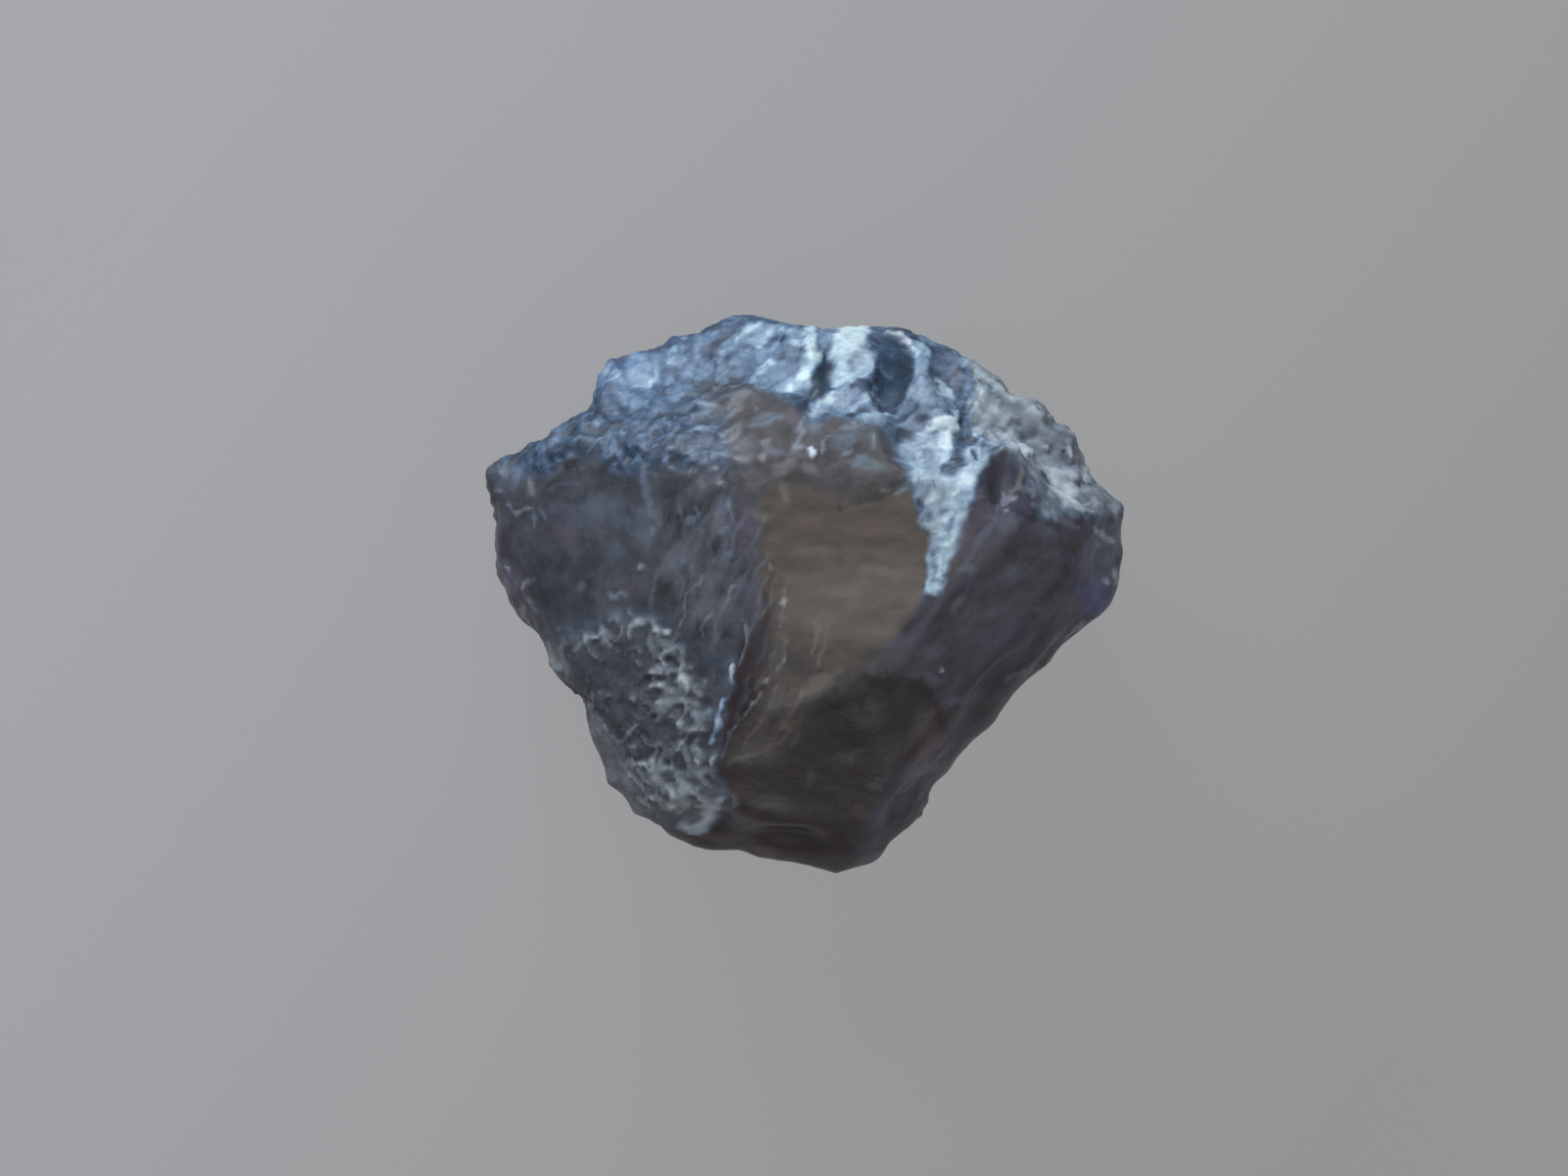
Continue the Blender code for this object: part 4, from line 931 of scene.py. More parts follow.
# The etched corner in front, with painted shade in its sunken dark lines and a painted highlight
# on the pale lip at its tip
PITS = (
    Patch(Mark.GLOW, 0.08, 0.5, ((-9.4, -1.4), (-5.0, -0.8), (-3.9, -2.0), (-3.0, -4.0),
        (-3.4, -7.0), (-7.0, -6.5), (-9.0, -4.0))),
    *Patch.each(Mark.WORM,
        (0.9, 0.5, ((-6.3, -1.5), (-5.0, -1.6), (-4.2, -3.0), (-3.8, -4.6), (-3.4, -6.9),
            (-4.4, -8.6), (-6.6, -8.2), (-7.0, -5.9), (-6.0, -4.6), (-6.4, -3.2))),
        (0.62, 0.4, ((-9.6, -1.9), (-6.2, -1.0), (-6.2, -2.4), (-8.6, -2.8))),
        (0.5, 0.5, ((-8.8, -3.6), (-6.4, -3.4), (-6.2, -5.0), (-8.2, -5.0))),
    ),
    *Stroke.each(Mark.GLOW,
        (0.44, 0.2, 0.06, ((-9.0, -2.25), (-8.6, -1.8), (-8.1, -1.65))),
        (0.42, 0.22, 0.06, ((-7.9, -1.3), (-7.8, -1.8), (-7.3, -2.15))),
        (0.48, 0.16, 0.05, ((-7.6, -1.15), (-7.4, -1.0), (-7.1, -1.05))),
        (0.6, 0.24, 0.07, ((-6.9, -1.7), (-6.75, -1.2), (-6.4, -1.0), (-5.9, -1.1),
            (-5.6, -1.5))),
        (0.54, 0.18, 0.06, ((-5.5, -2.9), (-5.6, -2.4), (-5.2, -2.1), (-4.8, -2.1),
            (-4.7, -2.8))),
    ),
    Blob(Tone.ICE_HIGHLIGHT, 0.85, -5.35, -1.5, 0.16, 0.14, 30, 0.05),
    Blob(Mark.GLOW, 0.54, -5.8, -2.95, 0.3, 0.2, 0, 0.05),
    *Stroke.each(Mark.GLOW,
        (0.5, 0.2, 0.06, ((-5.2, -2.9), (-5.5, -3.5), (-6.1, -3.5))),
        (0.52, 0.18, 0.06, ((-5.1, -3.4), (-4.8, -3.2), (-4.6, -3.4), (-4.6, -3.7))),
        (0.4, 0.34, 0.04, ((-5.7, -4.1), (-5.0, -4.2), (-4.2, -4.1))),
        (0.46, 0.18, 0.07, ((-8.0, -5.0), (-7.7, -5.4), (-7.2, -5.75), (-6.8, -5.2),
            (-6.3, -4.95))),
        (0.4, 0.13, 0.04, ((-6.9, -4.3), (-6.5, -4.7))),
    ),
    *Blob.each(Mark.GLOW,
        (0.36, -3.9, -3.4, 0.16, 0.2), (0.55, -4.85, -4.92, 0.3, 0.08),
    ),
    # A sunken line of painted shade
    Stroke(Tone.SHADE, 0.5, 0.14, -0.06, ((-6.3, -4.7), (-5.4, -4.7), (-4.4, -4.65))),
    *Stroke.each(Mark.GLOW,
        (0.48, 0.15, 0.05, ((-3.9, -5.1), (-4.5, -5.3), (-4.6, -5.6), (-4.9, -5.9))),
        (0.4, 0.2, 0.04, ((-8.5, -3.9), (-8.0, -3.9), (-7.8, -4.2))),
        (0.7, 0.2, 0.05, ((-6.75, -6.75), (-6.75, -6.35))),
        (0.66, 0.22, 0.06, ((-6.5, -6.6), (-6.1, -6.5), (-5.8, -6.2), (-5.8, -5.9))),
        (0.56, 0.14, 0.05, ((-5.6, -7.2), (-5.55, -7.6), (-5.6, -7.9))),
    ),
    *Blob.each(Mark.GLOW,
        (0.46, -8.4, -4.25, 0.2, 0.14), (0.64, -6.05, -8.0, 0.15, 0.15),
    ),
    Blob(Tone.SHADE, 0.4, -5.9, -6.9, 0.4, 0.15, 20, -0.05),
    Stroke(Mark.GLOW, 0.56, 0.16, 0.05, ((-5.5, -8.0), (-5.0, -8.2), (-4.9, -8.5))),
    Scale(-5.15, -7.6, 0.32, 0.28, 90, 0.34, 0.56, 0.06),
    Stroke(Mark.GLOW, 0.6, 0.15, 0.05, ((-4.2, -7.4), (-4.1, -7.9))),
    *Blob.each(Mark.GLOW,
        (0.7, -4.2, -6.4, 0.18, 0.16), (0.66, -3.6, -6.4, 0.12, 0.22, -20),
        (0.55, -4.2, -5.9, 0.12, 0.14),
    ),
    Patch(Mark.GLOW, 0.84, 0.3, ((-4.1, -7.95), (-3.3, -7.95), (-3.5, -8.5), (-3.9, -9.0),
        (-4.1, -8.5))),
    # The pale lip at the tip is a painted highlight
    Stroke(Tone.MIST, 0.95, 0.38, 0.1, ((-5.0, -8.95), (-4.4, -9.1), (-3.9, -8.8), (-3.5, -8.3),
        (-3.25, -7.8))),
    Stroke(Tone.ICE_HIGHLIGHT, 0.55, 0.16, 0.02, ((-4.7, -9.05), (-4.2, -9.0), (-3.8, -8.6), (-3.6, -8.2))),
    Stroke(Tone.ASH, 0.35, 0.14, 0.04, ((-2.95, -7.7), (-2.75, -7.9), (-2.85, -8.2))),
)

# The paler flanks below the pits, and painted shade in the dark hollow under their lip
FLANKS = (
    Blob(Mark.GLOW, 0.62, -9.9, -2.5, 0.9, 0.4, -60),
    Stroke(Mark.GLOW, 0.46, 0.14, 0.04, ((-9.65, -2.1), (-9.45, -2.5), (-9.35, -2.9))),
    Patch(Mark.GLOW, 0.45, 0.3, ((-8.8, -4.4), (-8.0, -4.9), (-7.2, -5.8), (-6.6, -7.0),
        (-5.9, -9.2), (-7.6, -8.4), (-8.6, -7.0), (-9.0, -5.6))),
    Blob(Tone.PLUM, 0.36, -7.9, -6.6, 0.8, 1.4, 30),
    Blob(Tone.SHADE, 0.5, -7.4, -7.45, 0.4, 0.2, -20),
    Patch(Tone.SHADE, 0.4, 0.2, ((-6.1, -9.2), (-4.9, -9.3), (-3.9, -9.3), (-3.3, -8.5),
        (-2.4, -9.0), (-2.2, -10.6), (-5.0, -10.4))),
)

# The clear, brownish pane with its reflections and flecks, and painted shade in its creases and
# along its lower crest
PANE = (
    Blob(Tone.PLUM, 0.3, -2.3, 2.4, 0.45, 1.3),
    Blob(Tone.STRAW, 0.16, -1.95, 3.0, 0.3, 0.5, 70),
    *Blob.each(Tone.SHADE,
        (0.3, -1.8, 1.9, 0.25, 0.7, 8), (0.3, -1.5, 3.3, 0.3, 0.25),
        (0.4, -1.45, 2.3, 0.22, 0.45, -20), (0.35, -1.4, 0.5, 0.25, 0.5, 10),
    ),
    *Stroke.each(Tone.STEEL,
        (0.4, 0.14, 0.01, ((-1.5, 3.2), (-1.8, 2.4), (-2.1, 1.8))),
        (0.36, 0.12, 0.01, ((-1.4, 1.9), (-1.7, 1.2), (-2.1, 0.5))),
    ),
    Stroke(Tone.STRAW, 0.34, 0.14, 0.01, ((-1.2, 0.6), (-1.4, -0.1), (-1.8, -0.9))),
    Stroke(Tone.STEEL, 0.34, 0.12, 0.01, ((-1.8, -0.2), (-2.0, -0.9), (-2.3, -1.5))),
    Blob(Tone.SHADE, 0.25, -0.4, 1.0, 1.0, 0.25),
    Patch(Tone.STRAW, 0.16, 0.35, ((-0.9, 0.7), (1.0, 0.7), (4.3, 1.6), (4.4, -0.3), (3.2, -1.7),
        (0.8, -1.6), (-0.7, -1.0))),
    Blob(Tone.STRAW, 0.2, 1.5, 0.2, 1.3, 0.35, 5),
    *Blob.each(Tone.RUST,
        (0.22, 0.2, 2.75, 0.5, 0.35), (0.22, 2.6, 2.5, 0.5, 0.4),
    ),
    Patch(Tone.SHADE, 0.73, 0.7, ((-0.9, -2.1), (1.2, -2.2), (3.0, -2.1), (2.4, -3.5),
        (0.9, -3.9), (-1.3, -3.2))),
    *Blob.each(Tone.SHADE,
        (0.22, 1.9, 2.0, 1.8, 0.25, 4), (0.26, 0.4, 3.3, 1.3, 0.22, -6),
    ),
    *Blob.each(Tone.STRAW,
        (0.18, 2.6, 0.9, 1.4, 0.22, -4), (0.16, 0.2, 1.6, 1.0, 0.2, 8),
    ),
    Blob(Tone.SHADE, 0.2, 2.8, -0.6, 1.2, 0.2, 6),
    Blob(Tone.RUST, 0.18, 1.2, -2.6, 1.0, 0.4),
    Blob(Tone.SHADE, 0.36, -0.6, -2.6, 0.5, 0.4, 20),
    Blob(Tone.STEEL, 0.2, -2.0, -0.3, 0.4, 1.0),
    Stroke(Tone.STEEL, 0.2, 0.2, 0.01, ((-1.4, -1.0), (-1.6, -1.9), (-1.9, -2.8))),
    Stroke(Tone.ASH, 0.14, 0.22, 0.01, ((-1.2, -2.0), (-1.5, -2.9), (-2.0, -3.7))),
    Stroke(Tone.STEEL, 0.2, 0.18, 0.01, ((-2.2, -3.0), (-2.4, -3.9), (-2.8, -4.9))),
    # Painted shade along the crest between the pane and the toe
    Stroke(Tone.SHADE, 0.42, 0.24, 0.0, ((-1.0, -4.9), (-0.2, -4.4), (0.6, -4.05), (1.4, -3.65),
        (2.2, -3.3), (3.2, -3.05))),
    *Stroke.each(Tone.STRAW,
        (0.35, 0.12, 0.0, ((0.35, -0.9), (0.3, -2.2))),
        (0.35, 0.12, 0.0, ((0.85, -1.2), (0.7, -1.9), (0.4, -2.6))),
    ),
    Blob(Tone.STRAW, 0.3, 0.5, -3.4, 0.8, 0.4, 30),
    *Stroke.each(Tone.STRAW,
        (0.34, 0.2, 0.01, ((-0.1, -3.2), (-0.4, -4.2), (-0.9, -5.0), (-1.3, -5.7))),
        (0.3, 0.16, 0.01, ((-1.1, -3.4), (-1.4, -4.2), (-1.8, -5.0), (-2.5, -5.9))),
        (0.3, 0.18, 0.01, ((-0.5, -4.9), (-0.9, -5.6), (-1.8, -6.1), (-2.6, -6.3))),
        (0.24, 0.14, 0.01, ((-0.1, -4.6), (-0.4, -5.3), (-0.6, -6.0))),
    ),
    Stroke(Tone.STEEL, 0.36, 0.12, 0.02, ((-2.5, -4.6), (-3.0, -5.6), (-3.3, -6.3))),
    # Sunken dark lines, and the crease at the pane's top, are painted shade
    *Stroke.each(Tone.SHADE,
        (0.5, 0.16, -0.02, ((-0.7, -3.4), (-1.0, -4.4), (-1.5, -5.3))),
        (0.5, 0.16, -0.02, ((-1.5, -1.6), (-1.6, -2.6), (-2.0, -3.6), (-2.6, -4.6))),
        (0.8, 0.34, -0.1, ((1.2, 3.3), (2.2, 3.6), (3.0, 3.8), (3.8, 4.3))),
    ),
    *Blob.each(Tone.SHADE,
        (0.4, -0.4, -4.7, 0.18, 0.3, -20), (0.45, -2.0, -2.3, 0.35, 0.9, -8),
    ),
    Stroke(Tone.ASH, 0.2, 0.3, 0.0, ((-3.0, -6.5), (-2.2, -6.2), (-1.3, -6.1))),
)

# Fine cracks along the pane's left side
CRACKS = (
    Stroke(Tone.ASH, 0.5, 0.08, 0.02, ((-0.75, 0.5), (-0.85, 0.0), (-0.9, -0.6), (-0.95, -1.1),
        (-0.8, -1.6), (-0.8, -2.2), (-1.0, -2.7), (-1.4, -3.2), (-1.7, -3.7), (-2.1, -4.3),
        (-2.8, -5.2))),
    Blob(Tone.ICE_HIGHLIGHT, 0.35, -0.9, -0.3, 0.13, 0.13),
    *Blob.each(Tone.ASH,
        (0.5, -1.45, -3.25, 0.25, 0.1, 45), (0.4, -2.05, -4.2, 0.2, 0.1, 45),
    ),
    Stroke(Tone.ASH, 0.3, 0.1, 0.02, ((-1.5, 0.8), (-1.7, 0.2), (-1.95, -0.35))),
    Blob(Tone.ASH, 0.4, -1.4, 1.1, 0.1, 0.16),
)

# The broken rim above the pane, with painted shade in its small dips and a painted highlight on a
# raised fleck
RIM = (
    Patch(Mark.DULL, 0.5, 0.4, ((-2.6, 7.6), (-0.6, 7.6), (0.2, 6.6), (2.4, 6.2), (3.6, 5.4),
        (3.4, 4.2), (0.4, 4.6), (-2.2, 4.2))),
    *Blob.each(Tone.ASH,
        (0.36, -0.9, 4.9, 0.6, 0.3, 25, 0.03), (0.34, 0.2, 4.75, 0.45, 0.25, -30, 0.03),
        (0.26, -0.8, 4.0, 0.25, 0.5, 10),
    ),
    Blob(Tone.SHADE, 0.4, -0.35, 4.35, 0.5, 0.15, 20, -0.04),
    Blob(Tone.TEAL, 0.34, 2.9, 5.9, 0.8, 0.4, -15),
    *Blob.each(Tone.STEEL,
        (0.6, 1.4, 6.0, 0.6, 0.35, 30), (0.5, 0.3, 6.6, 0.4, 0.3, 40),
    ),
    Blob(Tone.SHADE, 0.34, 2.35, 5.6, 0.35, 0.3),
    *Blob.each(Tone.TEAL,
        (0.4, 2.4, 5.0, 0.7, 0.3, -10), (0.35, -1.4, 6.8, 0.6, 0.2),
    ),
    Blob(Tone.SHADE, 0.3, 1.9, 5.5, 0.5, 0.2, 15, -0.03),
    Blob(Tone.PLUM, 0.35, -0.4, 6.9, 0.6, 0.3),
    *Blob.each(Tone.SHADE,
        (0.5, -0.9, 6.35, 0.6, 0.4, -20), (0.32, -1.0, 7.3, 0.6, 0.25),
        (0.28, -1.7, 6.2, 0.4, 0.3),
    ),
    *Blob.each(Tone.MIST,
        (0.55, -0.35, 5.6, 0.35, 0.25, 10), (0.3, -1.9, 7.1, 0.13, 0.13),
    ),
    *Blob.each(Tone.ASH,
        (0.45, -1.6, 5.8, 0.28, 0.15), (0.45, -1.6, 5.3, 0.22, 0.15),
    ),
    Blob(Tone.MIST, 0.45, -1.15, 5.15, 0.15, 0.12),
    Stroke(Tone.MIST, 0.4, 0.16, 0.03, ((0.0, 7.0), (-0.2, 6.2), (-0.5, 5.6))),
    Blob(Tone.ICE_HIGHLIGHT, 1.0, 0.28, 5.42, 0.17, 0.24, 10, 0.06),
    *Stroke.each(Tone.MIST,
        (0.55, 0.13, 0.03, ((0.85, 6.1), (0.7, 5.8), (0.65, 5.4))),
        (0.4, 0.16, 0.03, ((1.2, 6.3), (1.6, 6.45), (2.1, 6.5))),
    ),
    Blob(Tone.MIST, 0.4, 2.65, 5.95, 0.1, 0.35),
    *Blob.each(Tone.STEEL,
        (0.4, 2.0, 5.15, 0.5, 0.2, 15, 0.03), (0.36, -1.3, 5.55, 0.4, 0.18, -20, 0.03),
    ),
    Blob(Tone.MIST, 0.4, 1.5, 5.45, 0.3, 0.12, 25, 0.03),
    Stroke(Tone.STEEL, 0.45, 0.18, 0.02, ((-2.2, 6.6), (-1.6, 6.5), (-1.0, 6.8))),
    Blob(Tone.SHADE, 0.25, 1.8, 4.4, 1.2, 0.4),
    Blob(Tone.ASH, 0.3, 3.05, 4.0, 0.2, 0.12),
)

# The dark red-brown breaks in front of the pane, darkened further with painted shade where they
# turn away from the key light
TOE = (
    *Patch.each(Tone.SHADE,
        (0.42, 0.14, ((-0.2, -4.7), (0.9, -4.15), (2.0, -3.55), (3.0, -3.2), (3.95, -3.15),
            (4.4, -3.35), (4.9, -4.0), (4.8, -5.0), (4.2, -5.8), (3.2, -6.8), (1.0, -6.6),
            (-0.5, -6.0))),
        (0.25, 0.6, ((-2.4, -6.2), (0.4, -5.0), (3.0, -4.2), (3.4, -7.6), (1.6, -9.8),
            (-1.8, -9.4))),
    ),
    Stroke(Mark.DULL, 0.7, 0.9, 0.0, ((-1.2, -4.9), (0.4, -4.3), (2.0, -3.8), (3.4, -3.4),
        (4.8, -4.0), (5.2, -5.0))),
    Patch(Tone.PLUM, 0.16, 0.3, ((4.6, -3.9), (5.6, -4.6), (5.5, -5.4), (4.4, -6.3),
        (4.3, -5.4))),
    Stroke(Tone.ASH, 0.22, 0.24, 0.02, ((3.6, -7.6), (4.4, -6.9), (5.2, -6.2), (5.6, -5.8))),
    Blob(Tone.STEEL, 0.16, 3.1, -8.3, 0.7, 0.4, 20),
    Blob(Tone.SHADE, 0.4, 3.7, -8.7, 1.1, 0.8, 50),
    *Blob.each(Tone.RUST,
        (0.18, 2.1, -8.4, 0.4, 0.3), (0.3, -1.6, -10.0, 0.7, 0.25, -15),
    ),
    *Blob.each(Tone.ASH,
        (0.14, 0.15, -7.1, 0.2, 0.4), (0.14, 2.7, -7.4, 0.3, 0.25),
        (0.12, 1.6, -6.3, 0.7, 0.3, 20), (0.12, -1.4, -8.0, 0.9, 0.4),
        (0.18, 2.4, -10.3, 0.8, 0.2, 20),
    ),
    Blob(Tone.PLUM, 0.25, -3.2, -9.5, 0.9, 0.25),
    *Blob.each(Tone.SHADE,
        (0.35, 1.6, -7.4, 0.7, 0.3), (0.35, -1.4, -6.8, 0.5, 0.4),
    ),
    Patch(Tone.PLUM, 0.34, 0.3, ((4.6, -5.2), (5.5, -5.5), (4.6, -7.0), (3.4, -8.0),
        (4.1, -6.4))),
)

# The violet break on the right, with painted shade in the dark lens beside the blade and on its
# lower flank, and painted highlights along its right edge
RIGHT_FACE = (
    Patch(Tone.SHADE, 0.4, 0.25, ((6.9, 5.7), (7.5, 5.4), (7.8, 4.8), (7.7, 4.0), (7.2, 3.8),
        (6.8, 3.4), (6.9, 4.6))),
    Blob(Tone.STEEL, 0.4, 7.6, 2.8, 0.9, 0.5, -20),
    Stroke(Tone.ASH, 0.4, 0.2, 0.02, ((8.3, 5.2), (8.3, 4.7), (8.15, 4.1), (7.8, 3.7),
        (7.4, 3.4))),
    *Stroke.each(Tone.MIST,
        (0.34, 0.18, 0.02, ((7.6, 3.8), (7.35, 3.3), (7.15, 2.9))),
        (0.36, 0.18, 0.02, ((8.8, 4.9), (8.9, 4.3), (8.65, 3.7))),
    ),
    *Stroke.each(Tone.TEAL,
        (0.4, 0.2, -0.03, ((8.5, 4.9), (8.55, 4.3), (8.3, 3.7))),
        (0.45, 0.35, 0.0, ((9.0, 4.0), (9.6, 3.7), (10.1, 3.3), (10.8, 3.0))),
    ),
    *Stroke.each(Tone.STEEL,
        (0.4, 0.22, 0.02, ((8.6, 3.5), (9.3, 3.15), (9.9, 2.8), (10.6, 2.4))),
        (0.36, 0.26, 0.0, ((6.1, 1.2), (6.5, 1.9), (7.2, 2.8))),
    ),
    *Blob.each(Tone.STEEL,
        (0.6, 6.1, 0.95, 0.4, 0.28), (0.46, 11.5, 1.2, 0.9, 1.9),
    ),
    Stroke(Tone.STEEL, 0.34, 0.25, 0.02, ((6.3, 0.4), (6.0, -0.2), (5.6, -0.7))),
    Blob(Tone.PLUM, 0.25, 6.2, 2.2, 0.4, 0.8, -15),
    Blob(Tone.INDIGO, 0.46, 11.3, -0.1, 1.0, 0.9),
    Blob(Tone.STEEL, 0.45, 12.1, 2.2, 0.3, 1.0),
    Stroke(Tone.ICE_HIGHLIGHT, 0.55, 0.18, 0.05, ((11.1, 2.55), (11.5, 2.35), (11.95, 2.05))),
    Blob(Tone.MIST, 0.38, 11.35, 1.95, 0.17, 0.13),
    *Blob.each(Tone.ICE_HIGHLIGHT,
        (0.5, 11.7, 0.5, 0.28, 0.15, -30, 0.03), (0.4, 12.05, 0.7, 0.13, 0.3, 0, 0.03),
    ),
    *Blob.each(Tone.SHADE,
        (0.4, 11.6, 0.1, 0.3, 0.2), (0.35, 11.7, 0.95, 0.22, 0.12), (0.4, 10.5, 2.2, 0.25, 0.15),
        (0.35, 10.8, 2.5, 0.16, 0.16),
    ),
    Stroke(Tone.MIST, 0.5, 0.22, 0.03, ((9.3, -2.5), (9.8, -2.0), (10.4, -1.4), (10.8, -1.0))),
    *Blob.each(Tone.SHADE,
        (0.34, 7.6, -1.9, 1.3, 0.6, -10), (0.3, 9.4, 0.6, 0.9, 0.8, 20),
        (0.3, 6.9, 1.2, 0.35, 0.9, -25),
    ),
    *Blob.each(Tone.STEEL,
        (0.22, 9.2, 2.4, 1.0, 0.35, -20), (0.22, 8.0, 0.9, 0.8, 0.4, 15),
        (0.2, 6.5, -3.9, 0.6, 0.25, 30),
    ),
    *Blob.each(Tone.PLUM,
        (0.3, 10.2, -0.4, 0.6, 0.4, 30), (0.3, 10.5, -0.2, 0.4, 0.3),
    ),
    Blob(Tone.STRAW, 0.16, 5.8, -0.4, 0.45, 0.3, 40),
    Blob(Tone.SHADE, 0.3, 5.6, -2.6, 0.8, 0.35, 20),
    Blob(Tone.STEEL, 0.34, 9.0, -0.6, 0.26, 0.2),
    Blob(Tone.PLUM, 0.3, 7.9, -0.65, 1.3, 0.3, 4),
    Blob(Tone.STEEL, 0.16, 7.4, -0.75, 0.8, 0.2, 10),
    *Blob.each(Tone.INDIGO,
        (0.2, 7.5, -1.7, 1.8, 0.5, 20), (0.1, 4.3, -1.5, 0.4, 0.5),
    ),
    # Painted shade over the lower flank, which turns away from the light
    Patch(Tone.SHADE, 0.5, 0.8, ((5.4, -1.6), (9.6, -1.2), (9.8, -2.4), (7.6, -4.8), (6.0, -6.4),
        (5.2, -5.0), (5.0, -3.4))),
    Blob(Tone.STEEL, 0.16, 4.9, -2.2, 0.7, 0.3),
    Blob(Tone.PLUM, 0.3, 3.5, -2.6, 0.5, 0.3, 40),
    *Blob.each(Tone.STEEL,
        (0.26, 4.8, -3.2, 0.7, 0.2, -10), (0.24, 5.8, -4.1, 0.5, 0.2),
    ),
    Blob(Tone.ICE_HIGHLIGHT, 0.6, 5.3, -2.92, 0.13, 0.13, 0, 0.05),
    Stroke(Tone.STEEL, 0.4, 0.16, 0.03, ((7.6, -3.35), (8.2, -3.0), (8.9, -2.9))),
    Blob(Tone.SHADE, 0.3, 8.0, -3.3, 0.4, 0.12, 20),
)

# The flanks reach a little further out here than the flat breaks do
SWELLS = (
    Swell(9.4, -2.3, 0.9, 0.24),
    Swell(11.5, -0.4, 0.8, 0.24),
    Swell(4.4, -8.2, 0.8, 0.32),
    Swell(-12.3, 4.8, 0.7, 0.34),
)

BRUSHES = (
    KINDS + CROWN_LEFT + BOWL + COLUMN + LOBE + BLADE + BAND + LEDGES + PITS + FLANKS + LEFT_FACE
    + FIBRES + PANE + CRACKS + RIM + TOE + RIGHT_FACE + SWELLS
)


@dataclass(frozen=True)
class Layers:
    """The thin layers whose edges are the ledges: their dip, thickness and tread in mm."""

    dip: tuple[float, float, float] = (0.34, 0.30, 0.89)
    thickness: float = 0.34
    tread: float = 0.8
    waves: Noise = Noise(0.30, 1.8, 3, 4.0)

    def sink(self, points: np.ndarray, outwards: np.ndarray) -> np.ndarray:
        """How far each point sinks to lie on the tread of its layer, in mm.

        Where the surface runs across the layers it stays as it is, without ledges.
        """
        dip = np.array(self.dip) / np.linalg.norm(self.dip)
        share = (points @ dip + self.waves.at(points)) / self.thickness % 1
        riser = np.clip((share - self.tread) / (1 - self.tread), 0, 1)
        return (riser - share) * self.thickness * smooth_step(outwards @ dip, 0.72, 0.90)


@dataclass(frozen=True)
class ShellChips:
    """Small shell-like chips strewn over the bruised breaks: how many, their radii and depth."""

    count: int = 150
    radii: tuple[float, float] = (0.28, 0.85)
    depth: float = 0.09
    seed: int = 7

    def scooped(self, points: np.ndarray, where: np.ndarray) -> tuple[np.ndarray, np.ndarray]:
        """Scoops the chips out of the places that where marks.

        Args:
            points: One row for each point, in mm.
            where: How much each point takes chips, from 0 to 1.

        Returns:
            How far each point sinks in mm, and how near it is to a chip's lower rim, which takes a
            painted highlight.
        """
        draw = np.random.default_rng(self.seed)
        middles = points[draw.choice(len(points), self.count, p=where / where.sum())]
        sunk, rim_highlights = np.zeros(len(points)), np.zeros(len(points))
        for middle in middles:
            radius = draw.uniform(*self.radii)
            depth = self.depth * radius / self.radii[1] * draw.uniform(0.6, 1.2)
            opens = draw.normal(0, 0.5) + math.pi / 2
            away = points - middle
            gap = np.linalg.norm(away * (1, 1, 0.8), axis=1) / radius
            below = -(away[:, 0] * math.cos(opens) + away[:, 1] * math.sin(opens)) / radius
            shell = np.clip(1 - gap**2, 0, 1) * (0.55 + 0.6 * np.clip(below, -0.5, 1))
            sunk = np.maximum(sunk, depth * shell)
            rim_highlights = np.maximum(rim_highlights, bell(gap, 0.92, 0.13) * np.clip(below * 1.3, 0, 1))
        return -sunk * where, rim_highlights * where


@dataclass(frozen=True)
class Packing:
    """Packed grains: their size, steps, lean and gaps in mm, and how pale each of them is."""

    size: float
    lean: float
    gap_width: float
    contrast: float
    gap_shade: float
    steps: float = 0.0
    gap_depth: float = 0.0
    apart: float = 0.0

    def packed(self, points: np.ndarray) -> tuple[np.ndarray, np.ndarray]:
        """How far the grains stand out at each point, in mm, and how much paler they are."""
        own, gap, lean = grains(points, self.size, self.apart)
        between = 1 - smooth_step(gap, 0, self.gap_width)
        height = self.steps * (own - 0.5) + self.lean * lean - self.gap_depth * between
        return height, self.contrast * (own - 0.5) - self.gap_shade * between


@dataclass(frozen=True)
class Worms:
    """The etched, winding welts of the pitted corner: how they wind, and their height in mm."""

    lines: Noise = Noise(1.0, 0.80, 1, 6.0)
    knobs: Noise = Noise(1.0, 0.56, 1, 8.0)
    line_reach: float = 0.26
    knob_reach: float = 0.4
    knob_floor: float = 0.66
    slope: float = 0.14
    least: float = 0.02
    height: float = 0.10
    paler: float = 0.24

    def shape(self, points: np.ndarray, where: np.ndarray) -> np.ndarray:
        """1 on a worm and 0 beside it, with more worms where there is more of the mark."""
        winding = self.line_reach * where - np.abs(self.lines.at(points))
        knobs = self.knobs.at(points) + self.knob_reach * where - self.knob_floor
        return smooth_step(np.maximum(winding, knobs), 0.0, self.slope) * (where > self.least)


